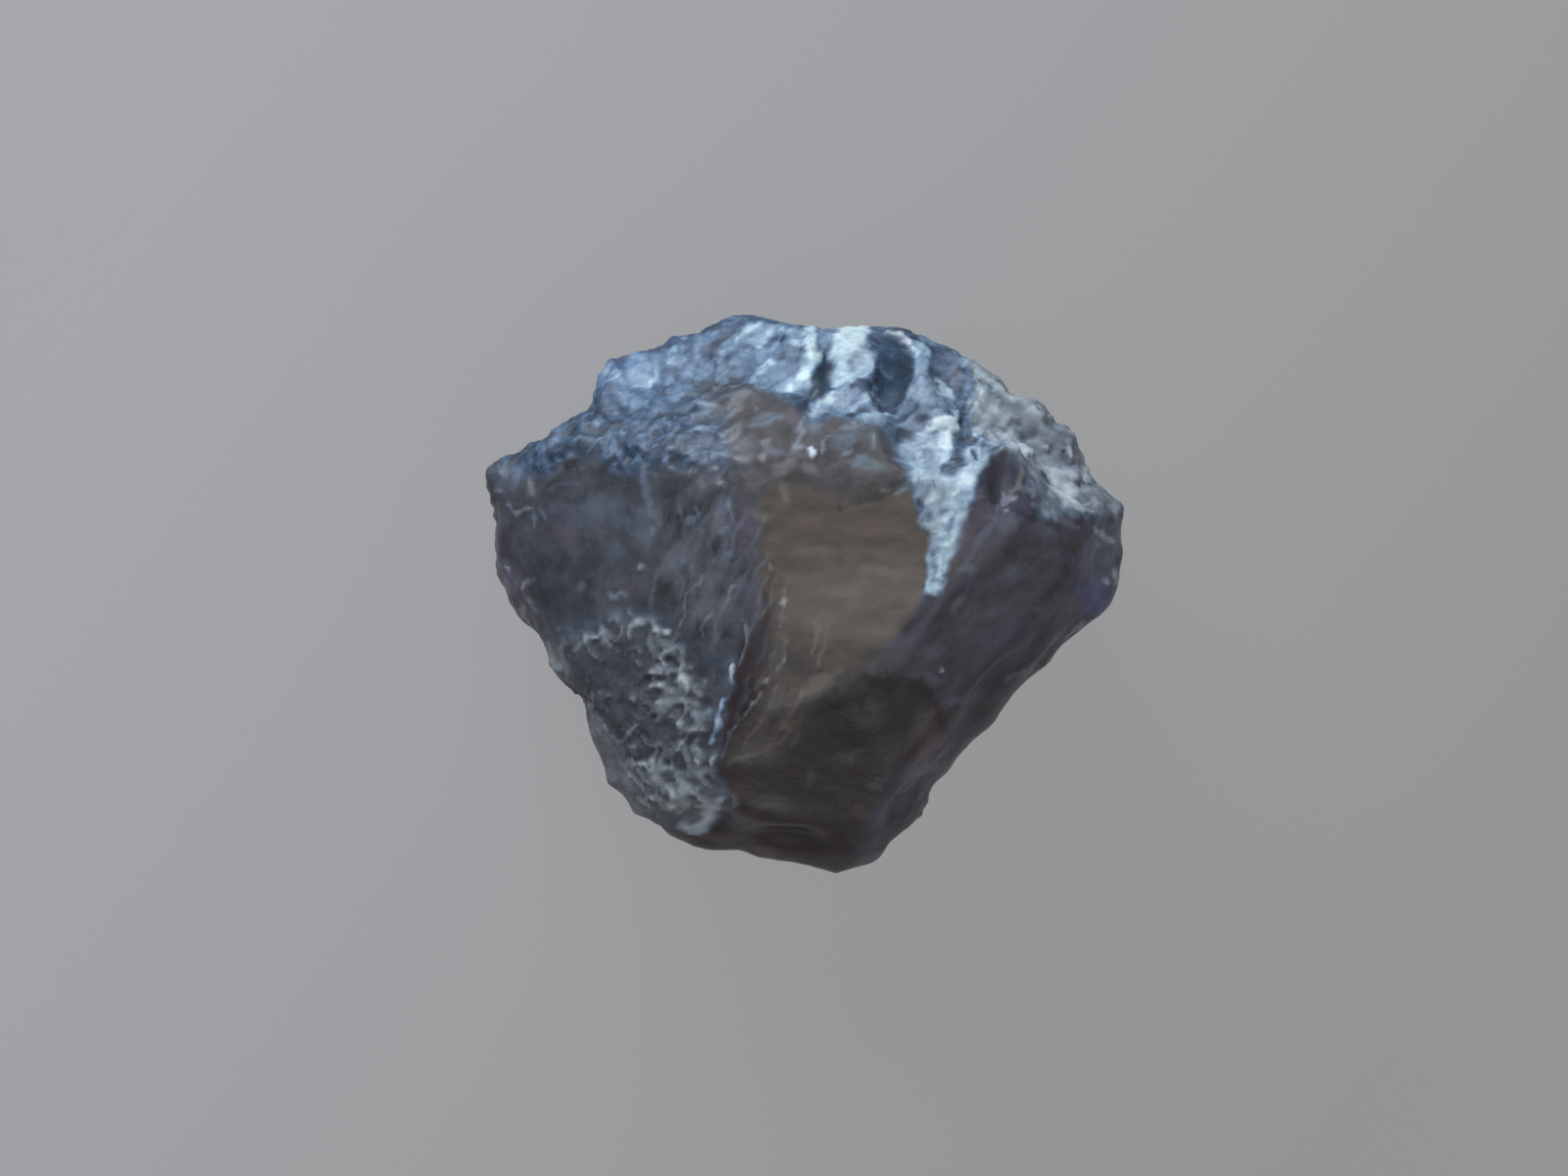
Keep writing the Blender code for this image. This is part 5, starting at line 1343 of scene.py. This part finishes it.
@dataclass(frozen=True)
class Relief:
    """The relief that is worked into the stone, kind by kind, with heights and sizes in mm.

    What stands proud on bruised crystal is paler too, because a flake's edge catches the light.
    """

    skin: Noise = Noise(0.022, 0.55, 2)
    # How much of the skin is gone at most, and how clean each kind of break is
    skin_gone: float = 0.85
    cleanness: tuple[tuple[Mark, float], ...] = (
        (Mark.WINDOW, 1.0), (Mark.TOE, 0.7), (Mark.VIOLET, 0.6),
    )
    # A flank is steep below the first upward share of its normal, and isn't above the second
    steep: tuple[float, float] = (0.35, 0.7)
    crumbs: Packing = Packing(
        size=0.34, lean=0.04, gap_width=0.3, contrast=0.20, gap_shade=0.04, steps=0.04,
        gap_depth=0.02,
    )
    worms: Worms = Worms()
    fibres: Noise = Noise(0.06, (1.2, 0.5, 1.0), 2, turn=68)
    hackles: Noise = Noise(0.03, 0.4, 2)
    layers: Layers = Layers()
    fold_bends: Noise = Noise(0.35, 1.5, 2, 51.0)
    folds: Noise = Noise(1.0, (1.7, 0.45, 0.6), 2, 14.0, -34)
    fold_height: float = 0.07
    crest_paler: float = 0.14
    crest_floor: float = 0.45
    crust_glow: float = 0.56
    crust_evened: float = 0.22
    shards: Packing = Packing(
        size=0.6, lean=0.12, gap_width=0.12, contrast=0.14, gap_shade=0.06, apart=12.0,
    )
    ripple_bends: Noise = Noise(0.6, 1.6, 2, 9.0)
    ripple_height: float = 0.02
    ripple_length: float = 0.5
    frost_glow: float = 0.42
    frost_contrast: float = 0.14
    chips: ShellChips = ShellChips()
    chips_on_flanks: float = 0.5
    chips_on_crust: float = 0.4
    rim_highlight: float = 0.2
    scallop_bends: Noise = Noise(0.5, 1.2, 2)
    scallop_size: float = 1.5
    scallop_height: float = 0.08
    scallop_floor: float = 0.7
    scallop_rim: float = 0.3
    scallops_gone: float = 0.95
    underside: Noise = Noise(0.10, 0.8, 3, 2.0)

    def worked(self, points: np.ndarray, outwards: np.ndarray, canvas: Canvas) -> np.ndarray:
        """Works the fine relief, and pales or darkens the bruised crystal with it.

        Args:
            points: The points in mm.
            outwards: The points' smoothed normals.
            canvas: What each point is like.

        Returns:
            How far each point moves outwards, in mm.
        """
        marks = canvas.marks
        steep = 1 - smooth_step(np.abs(outwards[:, 2]), *self.steep)
        clean = np.clip(sum(share * marks[mark] for mark, share in self.cleanness), 0, 1)
        height = (1 - self.skin_gone * clean) * self.skin.at(points) + canvas.proud
        height += self.pitted(points, canvas)
        height += marks[Mark.FIBRE] * self.fibres.at(points)
        height += marks[Mark.UMBER] * self.hackles.at(points)
        height += self.folded(points, outwards, canvas)
        height += self.frosted(points, canvas)
        height += self.chipped(points, steep, canvas)
        height += steep * self.scalloped(points, canvas)
        under = (1 - canvas.upper) * smooth_step(points[:, 2], 0.0, 0.5)
        return height + under * self.underside.at(points)

    def pitted(self, points: np.ndarray, canvas: Canvas) -> np.ndarray:
        """The crumbs of the shattered band and the worms of the pitted corner."""
        crumble = canvas.marks[Mark.CRUMBLE]
        crumbs, paler = self.crumbs.packed(points)
        worm = self.worms.shape(points, canvas.marks[Mark.WORM])
        canvas.marks[Mark.GLOW] += crumble * paler
        canvas.marks[Mark.GLOW] += self.worms.paler * worm
        return crumble * crumbs + self.worms.height * worm

    def folded(self, points: np.ndarray, outwards: np.ndarray, canvas: Canvas) -> np.ndarray:
        """The ledges of the pale edge, and the folds along them with their paler crests."""
        crust, glow = canvas.marks[Mark.CRUST], canvas.marks[Mark.GLOW]
        bent = points + self.fold_bends.at(points)[:, None]
        fold = 1 - 2 * np.abs(self.folds.at(bent))
        crests = self.crest_paler * (fold - self.crest_floor)
        glow += crust * (crests + self.crust_evened * (self.crust_glow - glow))
        return crust * (self.layers.sink(points, outwards) + self.fold_height * fold)

    def frosted(self, points: np.ndarray, canvas: Canvas) -> np.ndarray:
        """The leaning shards of the bright crown, and the ripples across them."""
        frost, glow = canvas.marks[Mark.FROST], canvas.marks[Mark.GLOW]
        shards, paler = self.shards.packed(points)
        glow += frost * paler
        # More contrast: what is pale gets paler, and what is dark gets darker
        glow += frost * self.frost_contrast * (glow - self.frost_glow)
        across = points[:, 1] + 0.5 * points[:, 2] + self.ripple_bends.at(points)
        ripples = np.sin(across * 2 * math.pi / self.ripple_length)
        return frost * (shards + self.ripple_height * ripples)

    def chipped(self, points: np.ndarray, steep: np.ndarray, canvas: Canvas) -> np.ndarray:
        """The small chips, most of them on the crown and the steep flanks, with a painted
        highlight on their lower rims.
        """
        marks = canvas.marks
        takes = marks[Mark.FROST] + self.chips_on_flanks * steep
        takes = np.clip(takes + self.chips_on_crust * marks[Mark.CRUST], 0, 1)
        sunk, rim_highlights = self.chips.scooped(points, takes + 1e-9)
        marks[Mark.GLOW] += self.rim_highlight * rim_highlights
        return sunk

    def scalloped(self, points: np.ndarray, canvas: Canvas) -> np.ndarray:
        """Broad, shallow scallops with bent borders, which the clean breaks hardly have."""
        bent = points + self.scallop_bends.sway(points, (41.0, 44.0, 47.0))
        own, gap, _ = grains(bent, self.scallop_size, apart=5.0)
        plain = 1 - self.scallops_gone * canvas.total(CLEAN_KINDS)
        hollows = (own - self.scallop_floor) * smooth_step(gap, 0, self.scallop_rim)
        return plain * self.scallop_height * hollows


@dataclass(frozen=True)
class Veneer:
    """How one kind of break looks: its darker and lighter colour, pattern and roughness."""

    mark: Mark | None
    dark: str
    light: str
    pattern: str
    rough: float


@dataclass(frozen=True)
class Cloud:
    """A noise pattern of the finish: its size in mm along each axis, turn and roughness."""

    name: str
    size: tuple[float, float, float]
    turn: float
    rough: float


@dataclass(frozen=True)
class IoliteFinish:
    """Gem cordierite, broken: a glassy crystal, frosted and crumbled where it is bruised.

    Cordierite's index is 1.53 to 1.55. It is blue-violet one way and straw-brown the other,
    so the level break lets brown light up while the sloping breaks look slate to violet.
    Clean breaks are glossy, and bruised crystal scatters the light and looks frosted.
    """

    transmission: float = 0.52
    ior: float = 1.54
    absorbed: str = "#b3b4ba"
    absorption: float = 260.0
    veneers: tuple[Veneer, ...] = (
        Veneer(None, "#282b32", "#4f525c", "mottled", 0.34),
        Veneer(Mark.FIBRE, "#15171d", "#676b75", "ropy", 0.36),
        Veneer(Mark.VIOLET, "#17141f", "#4a465b", "mottled", 0.40),
        Veneer(Mark.TOE, "#1e0d10", "#301b1e", "mottled", 0.36),
        Veneer(Mark.WINDOW, "#4a4138", "#675b50", "brushed", 0.28),
        Veneer(Mark.UMBER, "#332d2b", "#524c4e", "curdled", 0.5),
    )
    frosted_rough: float = 0.6
    # Bruised crystal, from a clear hollow to a full white flake, picked by the glow, which also
    # holds painted highlights and painted shade
    bruised: Stops = (
        (0.0, "#10283f"), (0.2, "#314d69"), (0.4, "#5f7b98"), (0.6, "#89a2b8"),
        (0.8, "#b0cbd8"), (1.0, "#e0f3f2"),
    )
    # The same where it is greyer
    ashen: Stops = (
        (0.0, "#272a32"), (0.2, "#484d57"), (0.4, "#70777f"), (0.6, "#979ea4"),
        (0.8, "#bbc3c6"), (1.0, "#e2e8e8"),
    )
    # How far each pattern stirs the brightness of bruised crystal
    stirs: tuple[tuple[str, float], ...] = (("curdled", 0.17), ("fine", 0.06), ("flaky", 0.14))
    flake_size: float = 0.42
    flake_bend: float = 0.9
    clouds: tuple[Cloud, ...] = (
        Cloud("mottled", (1.0, 0.8, 0.8), 15.0, 0.62),
        Cloud("fine", (0.16, 0.16, 0.16), 0.0, 0.5),
        Cloud("ropy", (0.75, 1.7, 1.0), -24.0, 0.62),
        Cloud("brushed", (1.2, 0.5, 1.2), 4.0, 0.65),
        Cloud("curdled", (0.5, 0.36, 0.5), 0.0, 0.62),
    )
    cloud_detail: float = 4.0
    # The middle values of the noise, which are stretched to go from 0 to 1
    cloud_span: tuple[float, float] = (0.3, 0.7)
    # How thin and how full the stains are
    stain_span: tuple[float, float] = (0.7, 1.0)
    bump_depth: float = 0.03
    bump_strength: float = 0.3

    def material(self) -> bpy.types.Material:
        """Builds the finish.

        Returns:
            The material, which reads the stone's marks.
        """
        made = new_material("broken cordierite crystal")
        tree = made.node_tree
        marks = {}
        for mark in Mark:
            node = add_node(tree, "ShaderNodeAttribute", attribute_name=mark.value)
            marks[mark] = node.outputs["Fac"]
        patterns = self.patterns(tree)
        surface = {
            "Base Color": self.colour(tree, marks, patterns),
            "Roughness": self.roughness(tree, marks),
            "Normal": self.bump(tree, patterns),
            "IOR": self.ior,
            "Transmission Weight": self.transmission,
        }
        shader = add_node(tree, "ShaderNodeBsdfPrincipled", surface)
        depth = {"Color": linear(self.absorbed), "Density": self.absorption}
        inside = add_node(tree, "ShaderNodeVolumeAbsorption", depth)
        ends = {"Surface": shader.outputs[0], "Volume": inside.outputs[0]}
        add_node(tree, "ShaderNodeOutputMaterial", ends)
        return made

    def patterns(self, tree: bpy.types.NodeTree) -> dict:
        """The patterns that vary the colours, each from 0 to 1, by name."""
        where = add_node(tree, "ShaderNodeTexCoord").outputs["Object"]
        found, noises = {}, {}
        low, high = self.cloud_span
        for cloud in self.clouds:
            spread = {
                "Vector": where,
                "Rotation": (0.0, 0.0, math.radians(cloud.turn)),
                "Scale": tuple(axis * MM for axis in cloud.size),
            }
            lies = add_node(tree, "ShaderNodeMapping", spread, vector_type="TEXTURE").outputs[0]
            lumpy = {
                "Vector": lies,
                "Scale": 1.0,
                "Detail": self.cloud_detail,
                "Roughness": cloud.rough,
            }
            noises[cloud.name] = add_node(tree, "ShaderNodeTexNoise", lumpy)
            value = noises[cloud.name].outputs["Fac"]
            stretched = {"Value": value, "From Min": low, "From Max": high}
            found[cloud.name] = add_node(tree, "ShaderNodeMapRange", stretched).outputs[0]
        bend = {0: noises["curdled"].outputs["Color"], 1: (self.flake_bend * MM,) * 3, 2: where}
        bent = add_node(tree, "ShaderNodeVectorMath", bend, operation="MULTIPLY_ADD")
        cells = {"Vector": bent.outputs[0], "Scale": 1 / (self.flake_size * MM)}
        flakes = add_node(tree, "ShaderNodeTexVoronoi", cells).outputs["Color"]
        found["flaky"] = add_node(tree, "ShaderNodeSeparateColor", {"Color": flakes}).outputs[0]
        return found

    def colour(self, tree: bpy.types.NodeTree, marks: dict, patterns: dict):
        """The colour: the kinds of break, the bruised crystal over them, then the stains.

        Args:
            tree: The material's node tree.
            marks: A socket for each mark.
            patterns: A socket for each pattern's name.

        Returns:
            The colour's socket.
        """
        colour = None
        for veneer in self.veneers:
            shades = {
                0: patterns[veneer.pattern], 6: linear(veneer.dark), 7: linear(veneer.light),
            }
            own = add_node(tree, "ShaderNodeMix", shades, data_type="RGBA").outputs[2]
            if veneer.mark is None:
                colour = own
                continue
            over = {0: marks[veneer.mark], 6: colour, 7: own}
            colour = add_node(tree, "ShaderNodeMix", over, data_type="RGBA").outputs[2]
        glow = marks[Mark.GLOW]
        for pattern, swing in self.stirs:
            about = {0: patterns[pattern], 1: swing, 2: -swing / 2}
            stir = add_node(tree, "ShaderNodeMath", about, operation="MULTIPLY_ADD").outputs[0]
            glow = add_node(tree, "ShaderNodeMath", {0: glow, 1: stir}, operation="ADD").outputs[0]
        flakes = []
        for stops in (self.bruised, self.ashen):
            ramp = add_node(tree, "ShaderNodeValToRGB", {"Fac": glow})
            elements = ramp.color_ramp.elements
            elements.remove(elements[1])
            for place, stop in stops:
                element = elements.new(place) if place else elements[0]
                element.color = linear(stop)
            flakes.append(ramp.outputs[0])
        greyer = {0: marks[Mark.ASHEN], 6: flakes[0], 7: flakes[1]}
        bruised = add_node(tree, "ShaderNodeMix", greyer, data_type="RGBA").outputs[2]
        over = {0: marks[Mark.COVER], 6: colour, 7: bruised}
        colour = add_node(tree, "ShaderNodeMix", over, data_type="RGBA").outputs[2]
        stain = add_node(tree, "ShaderNodeAttribute", attribute_name=STAIN)
        thin, full = self.stain_span
        thinned = {"Value": patterns["curdled"], "To Min": thin, "To Max": full}
        uneven = add_node(tree, "ShaderNodeMapRange", thinned).outputs[0]
        factors = {0: stain.outputs["Alpha"], 1: uneven}
        share = add_node(tree, "ShaderNodeMath", factors, operation="MULTIPLY").outputs[0]
        over = {0: share, 6: colour, 7: stain.outputs["Color"]}
        return add_node(tree, "ShaderNodeMix", over, data_type="RGBA").outputs[2]

    def roughness(self, tree: bpy.types.NodeTree, marks: dict):
        """The roughness: glassy on the clean breaks and dull where they are bruised."""
        rough = self.veneers[0].rough
        pairs = [(veneer.mark, veneer.rough) for veneer in self.veneers[1:]]
        for mark, value in (*pairs, (Mark.COVER, self.frosted_rough), (Mark.DULL, 1.0)):
            over = {0: marks[mark], 2: rough, 3: value}
            rough = add_node(tree, "ShaderNodeMix", over, data_type="FLOAT").outputs[0]
        return rough

    def bump(self, tree: bpy.types.NodeTree, patterns: dict):
        """The finest relief, under a tenth of a millimetre."""
        both = {0: patterns["curdled"], 1: patterns["mottled"]}
        height = add_node(tree, "ShaderNodeMath", both, operation="ADD").outputs[0]
        raised = {
            "Height": height,
            "Strength": self.bump_strength,
            "Distance": self.bump_depth * MM,
        }
        return add_node(tree, "ShaderNodeBump", raised).outputs[0]


@dataclass(frozen=True)
class Neighbours:
    """A mesh's joined points, each pair both ways round, and how many each point has."""

    ends: np.ndarray
    others: np.ndarray
    counts: np.ndarray

    @classmethod
    def of(cls, mesh: bpy.types.Mesh) -> "Neighbours":
        """Reads the neighbours from the mesh's edges."""
        edges = read_rows(mesh.edges, "vertices", 2, np.int32)
        ends = np.concatenate([edges[:, 0], edges[:, 1]])
        others = np.concatenate([edges[:, 1], edges[:, 0]])
        return cls(ends, others, np.bincount(ends, minlength=len(mesh.vertices))[:, None])

    def averaged(self, values: np.ndarray, rounds: int) -> np.ndarray:
        """Averages every point's value with its neighbours', over and over.

        Args:
            values: One row, or one number, for each point.
            rounds: How many times.

        Returns:
            The smoothed values.
        """
        table = values.reshape(len(values), -1)
        for _ in range(rounds):
            total = [
                np.bincount(self.ends, weights=column[self.others], minlength=len(table))
                for column in table.T
            ]
            table = 0.5 * table + 0.5 * np.array(total).T / self.counts
        return table.reshape(values.shape)

    def calmed(self, points: np.ndarray, rounds: int) -> np.ndarray:
        """Smooths the stone's points over a few rounds, and keeps its size and its edges."""
        calm = self.averaged(points, rounds)
        return 2 * calm - self.averaged(calm, rounds)


@dataclass(frozen=True)
class WornEdgesAndHollowShade:
    """Paler worn edges and painted shade in the hollows: from which bends in mm, and how much of
    each.
    """

    bends: tuple[float, float] = (0.012, 0.05)
    edge_paler: float = 0.15
    edge_steel: float = 0.30
    hollow_darker: float = 0.2
    hollow_shade: float = 0.45

    def lay(
        self, mesh: bpy.types.Mesh, joined: Neighbours, points: np.ndarray, canvas: Canvas
    ) -> None:
        """Lays the worn edges and the painted shade of the hollows on the canvas, from how the
        surface bends.

        Args:
            mesh: The finished mesh.
            joined: Its neighbours.
            points: Its points in mm.
            canvas: What each point is like, which takes the paler and darker places.
        """
        marks = canvas.marks
        normals = read_rows(mesh.vertices, "normal", 3)
        bend = np.einsum("ij,ij->i", points - joined.averaged(points, 2), normals)
        bend = joined.averaged(bend, 1)
        # The shattered band and the ledges have edges and hollows enough of their own
        edges = smooth_step(bend, *self.bends) * np.clip(0.5 + canvas.ragged, 0, 1)
        edges *= 1 - 0.7 * marks[Mark.CRUMBLE]
        # Hollows are darkened as painted shade
        hollows = smooth_step(-bend, *self.bends)
        hollows *= 1 - 0.8 * marks[Mark.CRUMBLE] - 0.5 * marks[Mark.CRUST]
        marks[Mark.GLOW] += self.edge_paler * edges - self.hollow_darker * hollows
        plain, clean = 1 - canvas.total(BRUISED_KINDS), canvas.total(CLEAN_KINDS)
        canvas.lay(Tone.STEEL, self.edge_steel, edges * plain * (1 - 0.8 * clean))
        canvas.lay(Tone.SHADE, self.hollow_shade, hollows * plain)


@dataclass(frozen=True)
class Crystal:
    """The stone: its mesh fineness and smoothing in mm and rounds, its relief and finish."""

    name: str = "rough_iolite"
    voxel: float = 0.1315
    calm_rounds: int = 6
    clean_rounds: int = 50
    blur_rounds: int = 14
    facet_blur: float = 0.08
    facet_waves: Noise = Noise(0.10, 0.7, 3)
    relief: Relief = Relief()
    worn_edges_and_hollow_shade: WornEdgesAndHollowShade = WornEdgesAndHollowShade()
    finish: IoliteFinish = IoliteFinish()

    def build(self) -> bpy.types.Object:
        """Makes the stone, marks it and dresses it.

        Returns:
            The finished piece.
        """
        stone = self.meshed_copy()
        mesh = stone.data
        joined = Neighbours.of(mesh)
        points = self.smoothed(mesh, joined)
        outwards = joined.averaged(read_rows(mesh.vertices, "normal", 3), self.blur_rounds)
        outwards /= np.linalg.norm(outwards, axis=1)[:, None]
        canvas = Canvas.over(points, outwards, self.facet_marks(points))
        for brush in BRUSHES:
            brush.paint(canvas)
        points = points + outwards * self.relief.worked(points, outwards, canvas)[:, None]
        points[:, 2] = np.maximum(points[:, 2], 0)
        write_points(mesh, points)
        self.worn_edges_and_hollow_shade.lay(mesh, joined, points, canvas)
        canvas.write(mesh)
        mesh.shade_smooth()
        mesh.materials.clear()
        mesh.materials.append(self.finish.material())
        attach(stone, "root")
        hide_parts(STONE_NODE)
        return stone

    def meshed_copy(self) -> bpy.types.Object:
        """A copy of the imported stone, merged and meshed evenly."""
        bm = bmesh.new()
        bm.from_mesh(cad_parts[STONE_NODE].data)
        bmesh.ops.remove_doubles(bm, verts=bm.verts, dist=0.001 * MM)
        bmesh.ops.recalc_face_normals(bm, faces=bm.faces)
        merged = bpy.data.meshes.new("merged stone")
        bm.to_mesh(merged)
        bm.free()
        helper = placed("merged stone", merged)
        remesh = helper.modifiers.new("even faces", "REMESH")
        remesh.mode = "VOXEL"
        remesh.voxel_size = self.voxel * MM
        graph = bpy.context.evaluated_depsgraph_get()
        mesh = bpy.data.meshes.new_from_object(helper.evaluated_get(graph))
        mesh.name = self.name
        bpy.data.objects.remove(helper)
        return placed(self.name, mesh)

    def smoothed(self, mesh: bpy.types.Mesh, joined: Neighbours) -> np.ndarray:
        """Smooths the mesh, its clean breaks the most, and gives its points in mm."""
        points = joined.calmed(read_rows(mesh.vertices, "co", 3) / MM, self.calm_rounds)
        kinds = self.facet_marks(points)
        clean = sum(kinds[mark] for mark in CLEAN_KINDS) + 0.6 * kinds[Mark.CRUMBLE]
        clean = joined.averaged(np.clip(clean, 0, 1), self.calm_rounds)[:, None]
        points += clean * (joined.calmed(points, self.clean_rounds) - points)
        write_points(mesh, points)
        return points

    def facet_marks(self, points: np.ndarray) -> dict[Mark, np.ndarray]:
        """Marks which kind of break every point lies on, with ragged borders."""
        bent = points + self.facet_waves.sway(points, (21.0, 24.0, 27.0))
        nearness = np.array([facet.clearance(bent) for facet in FACETS]) / self.facet_blur
        nearness = np.exp(nearness - nearness.max(0))
        nearness /= nearness.sum(0)
        marks = {mark: np.zeros(len(points)) for mark in Mark}
        for facet, weight in zip(FACETS, nearness):
            if facet.mark is not None:
                marks[facet.mark] += weight
        marks[Mark.GLOW] += 0.3
        return marks


@dataclass(frozen=True)
class Table:
    """The pale, level table under the stone, brighter on one side than on the other."""

    half_side: float = 2.0
    # The glow's grading is painted light: paler towards the key light and darker away from it
    lit: str = "#a1a2a7"
    shaded: str = "#908f8d"
    darkens_towards: tuple[float, float, float] = (11.0, -8.0, 0.0)
    fade: float = 0.4
    own_light: float = 0.95
    card: str = "#2c2c2c"

    def build(self) -> bpy.types.Object:
        """Lays the table under the stone.

        Returns:
            The table, which is stage.
        """
        bm = bmesh.new()
        bmesh.ops.create_grid(bm, x_segments=1, y_segments=1, size=self.half_side)
        mesh = bpy.data.meshes.new("table")
        bm.to_mesh(mesh)
        bm.free()
        mesh.materials.append(self.material())
        table = placed("table", mesh)
        return table

    def material(self) -> bpy.types.Material:
        """A card that glows, graded paler on the side of the key light as painted light, so that
        the stone is lit from below and casts no shadow.
        """
        made = new_material("glowing table with painted light")
        tree = made.node_tree
        where = add_node(tree, "ShaderNodeTexCoord").outputs["Object"]
        across = {0: where, 1: self.darkens_towards}
        slope = add_node(tree, "ShaderNodeVectorMath", across, operation="DOT_PRODUCT")
        span = {"Value": slope.outputs["Value"], "From Min": -self.fade, "From Max": self.fade}
        share = add_node(tree, "ShaderNodeMapRange", span).outputs[0]
        shades = {0: share, 6: linear(self.lit), 7: linear(self.shaded)}
        colour = add_node(tree, "ShaderNodeMix", shades, data_type="RGBA").outputs[2]
        surface = {
            "Base Color": linear(self.card),
            "Roughness": 0.9,
            "Specular IOR Level": 0.1,
            "Emission Color": colour,
            "Emission Strength": self.own_light,
        }
        shader = add_node(tree, "ShaderNodeBsdfPrincipled", surface)
        add_node(tree, "ShaderNodeOutputMaterial", {"Surface": shader.outputs[0]})
        return made


@dataclass(frozen=True)
class SoftBox:
    """A large soft light: its place and size in m, its power in W and its colour."""

    place: tuple[float, float, float]
    size: tuple[float, float]
    power: float
    colour: str

    def build(self) -> None:
        """Hangs the light so that it faces the stone."""
        data = bpy.data.lights.new("soft box", "AREA")
        data.shape = "RECTANGLE"
        data.size, data.size_y = self.size
        data.energy = self.power
        data.color = linear(self.colour)[:3]
        lamp = placed("soft box", data)
        lamp.location = self.place
        lamp.rotation_euler = Vector(self.place).to_track_quat("Z", "Y").to_euler()


@dataclass(frozen=True)
class Studio:
    """Soft light from behind the stone, a weak fill, a room around it and the camera above."""

    key: SoftBox = SoftBox((-0.107, 0.278, 0.158), (0.30, 0.20), 2.55, "#dfeaf5")
    fill: SoftBox = SoftBox((0.20, -0.20, 0.25), (0.44, 0.44), 0.5, "#f6f5f6")
    overhead: str = "#d0d2d6"
    horizon: str = "#85878c"
    brightens: tuple[float, float] = (0.1, 0.9)
    camera_place: tuple[float, float, float] = (-0.86 * MM, 0.25 * MM, 0.345)
    lens: float = 200.0

    def build(self) -> None:
        """Sets up the lights, the room and the camera."""
        self.key.build()
        self.fill.build()
        self.room_light()
        self.camera()
        bpy.context.scene.view_settings.view_transform = "Standard"

    def room_light(self) -> None:
        """A room that is pale overhead and dimmer towards the horizon."""
        world = bpy.data.worlds.new("room")
        bpy.context.scene.world = world
        world.use_nodes = True
        tree = world.node_tree
        tree.nodes.clear()
        towards = add_node(tree, "ShaderNodeTexCoord").outputs["Generated"]
        rise = add_node(tree, "ShaderNodeSeparateXYZ", {"Vector": towards}).outputs["Z"]
        low, high = self.brightens
        span = {"Value": rise, "From Min": low, "From Max": high}
        share = add_node(tree, "ShaderNodeMapRange", span).outputs[0]
        shades = {0: share, 6: linear(self.horizon), 7: linear(self.overhead)}
        colour = add_node(tree, "ShaderNodeMix", shades, data_type="RGBA").outputs[2]
        light = {"Color": colour, "Strength": 1.0}
        shine = add_node(tree, "ShaderNodeBackground", light).outputs[0]
        add_node(tree, "ShaderNodeOutputWorld", {"Surface": shine})

    def camera(self) -> None:
        """A long lens straight above the stone."""
        data = bpy.data.cameras.new("camera")
        data.lens = self.lens
        data.clip_start, data.clip_end = 0.01, 20.0
        made = placed("camera", data)
        made.location = self.camera_place
        bpy.context.scene.camera = made


def main() -> None:
    """Builds the stone, its table and the studio, and reports the piece."""
    logging.basicConfig(level=logging.INFO, format="%(name)s: %(message)s")
    stone = Crystal().build()
    Table().build()
    Studio().build()
    triangles = sum(len(face.vertices) - 2 for face in stone.data.polygons)
    log.info("%s: %d triangles on body root", stone.name, triangles)


if __name__ == "__main__":
    main()
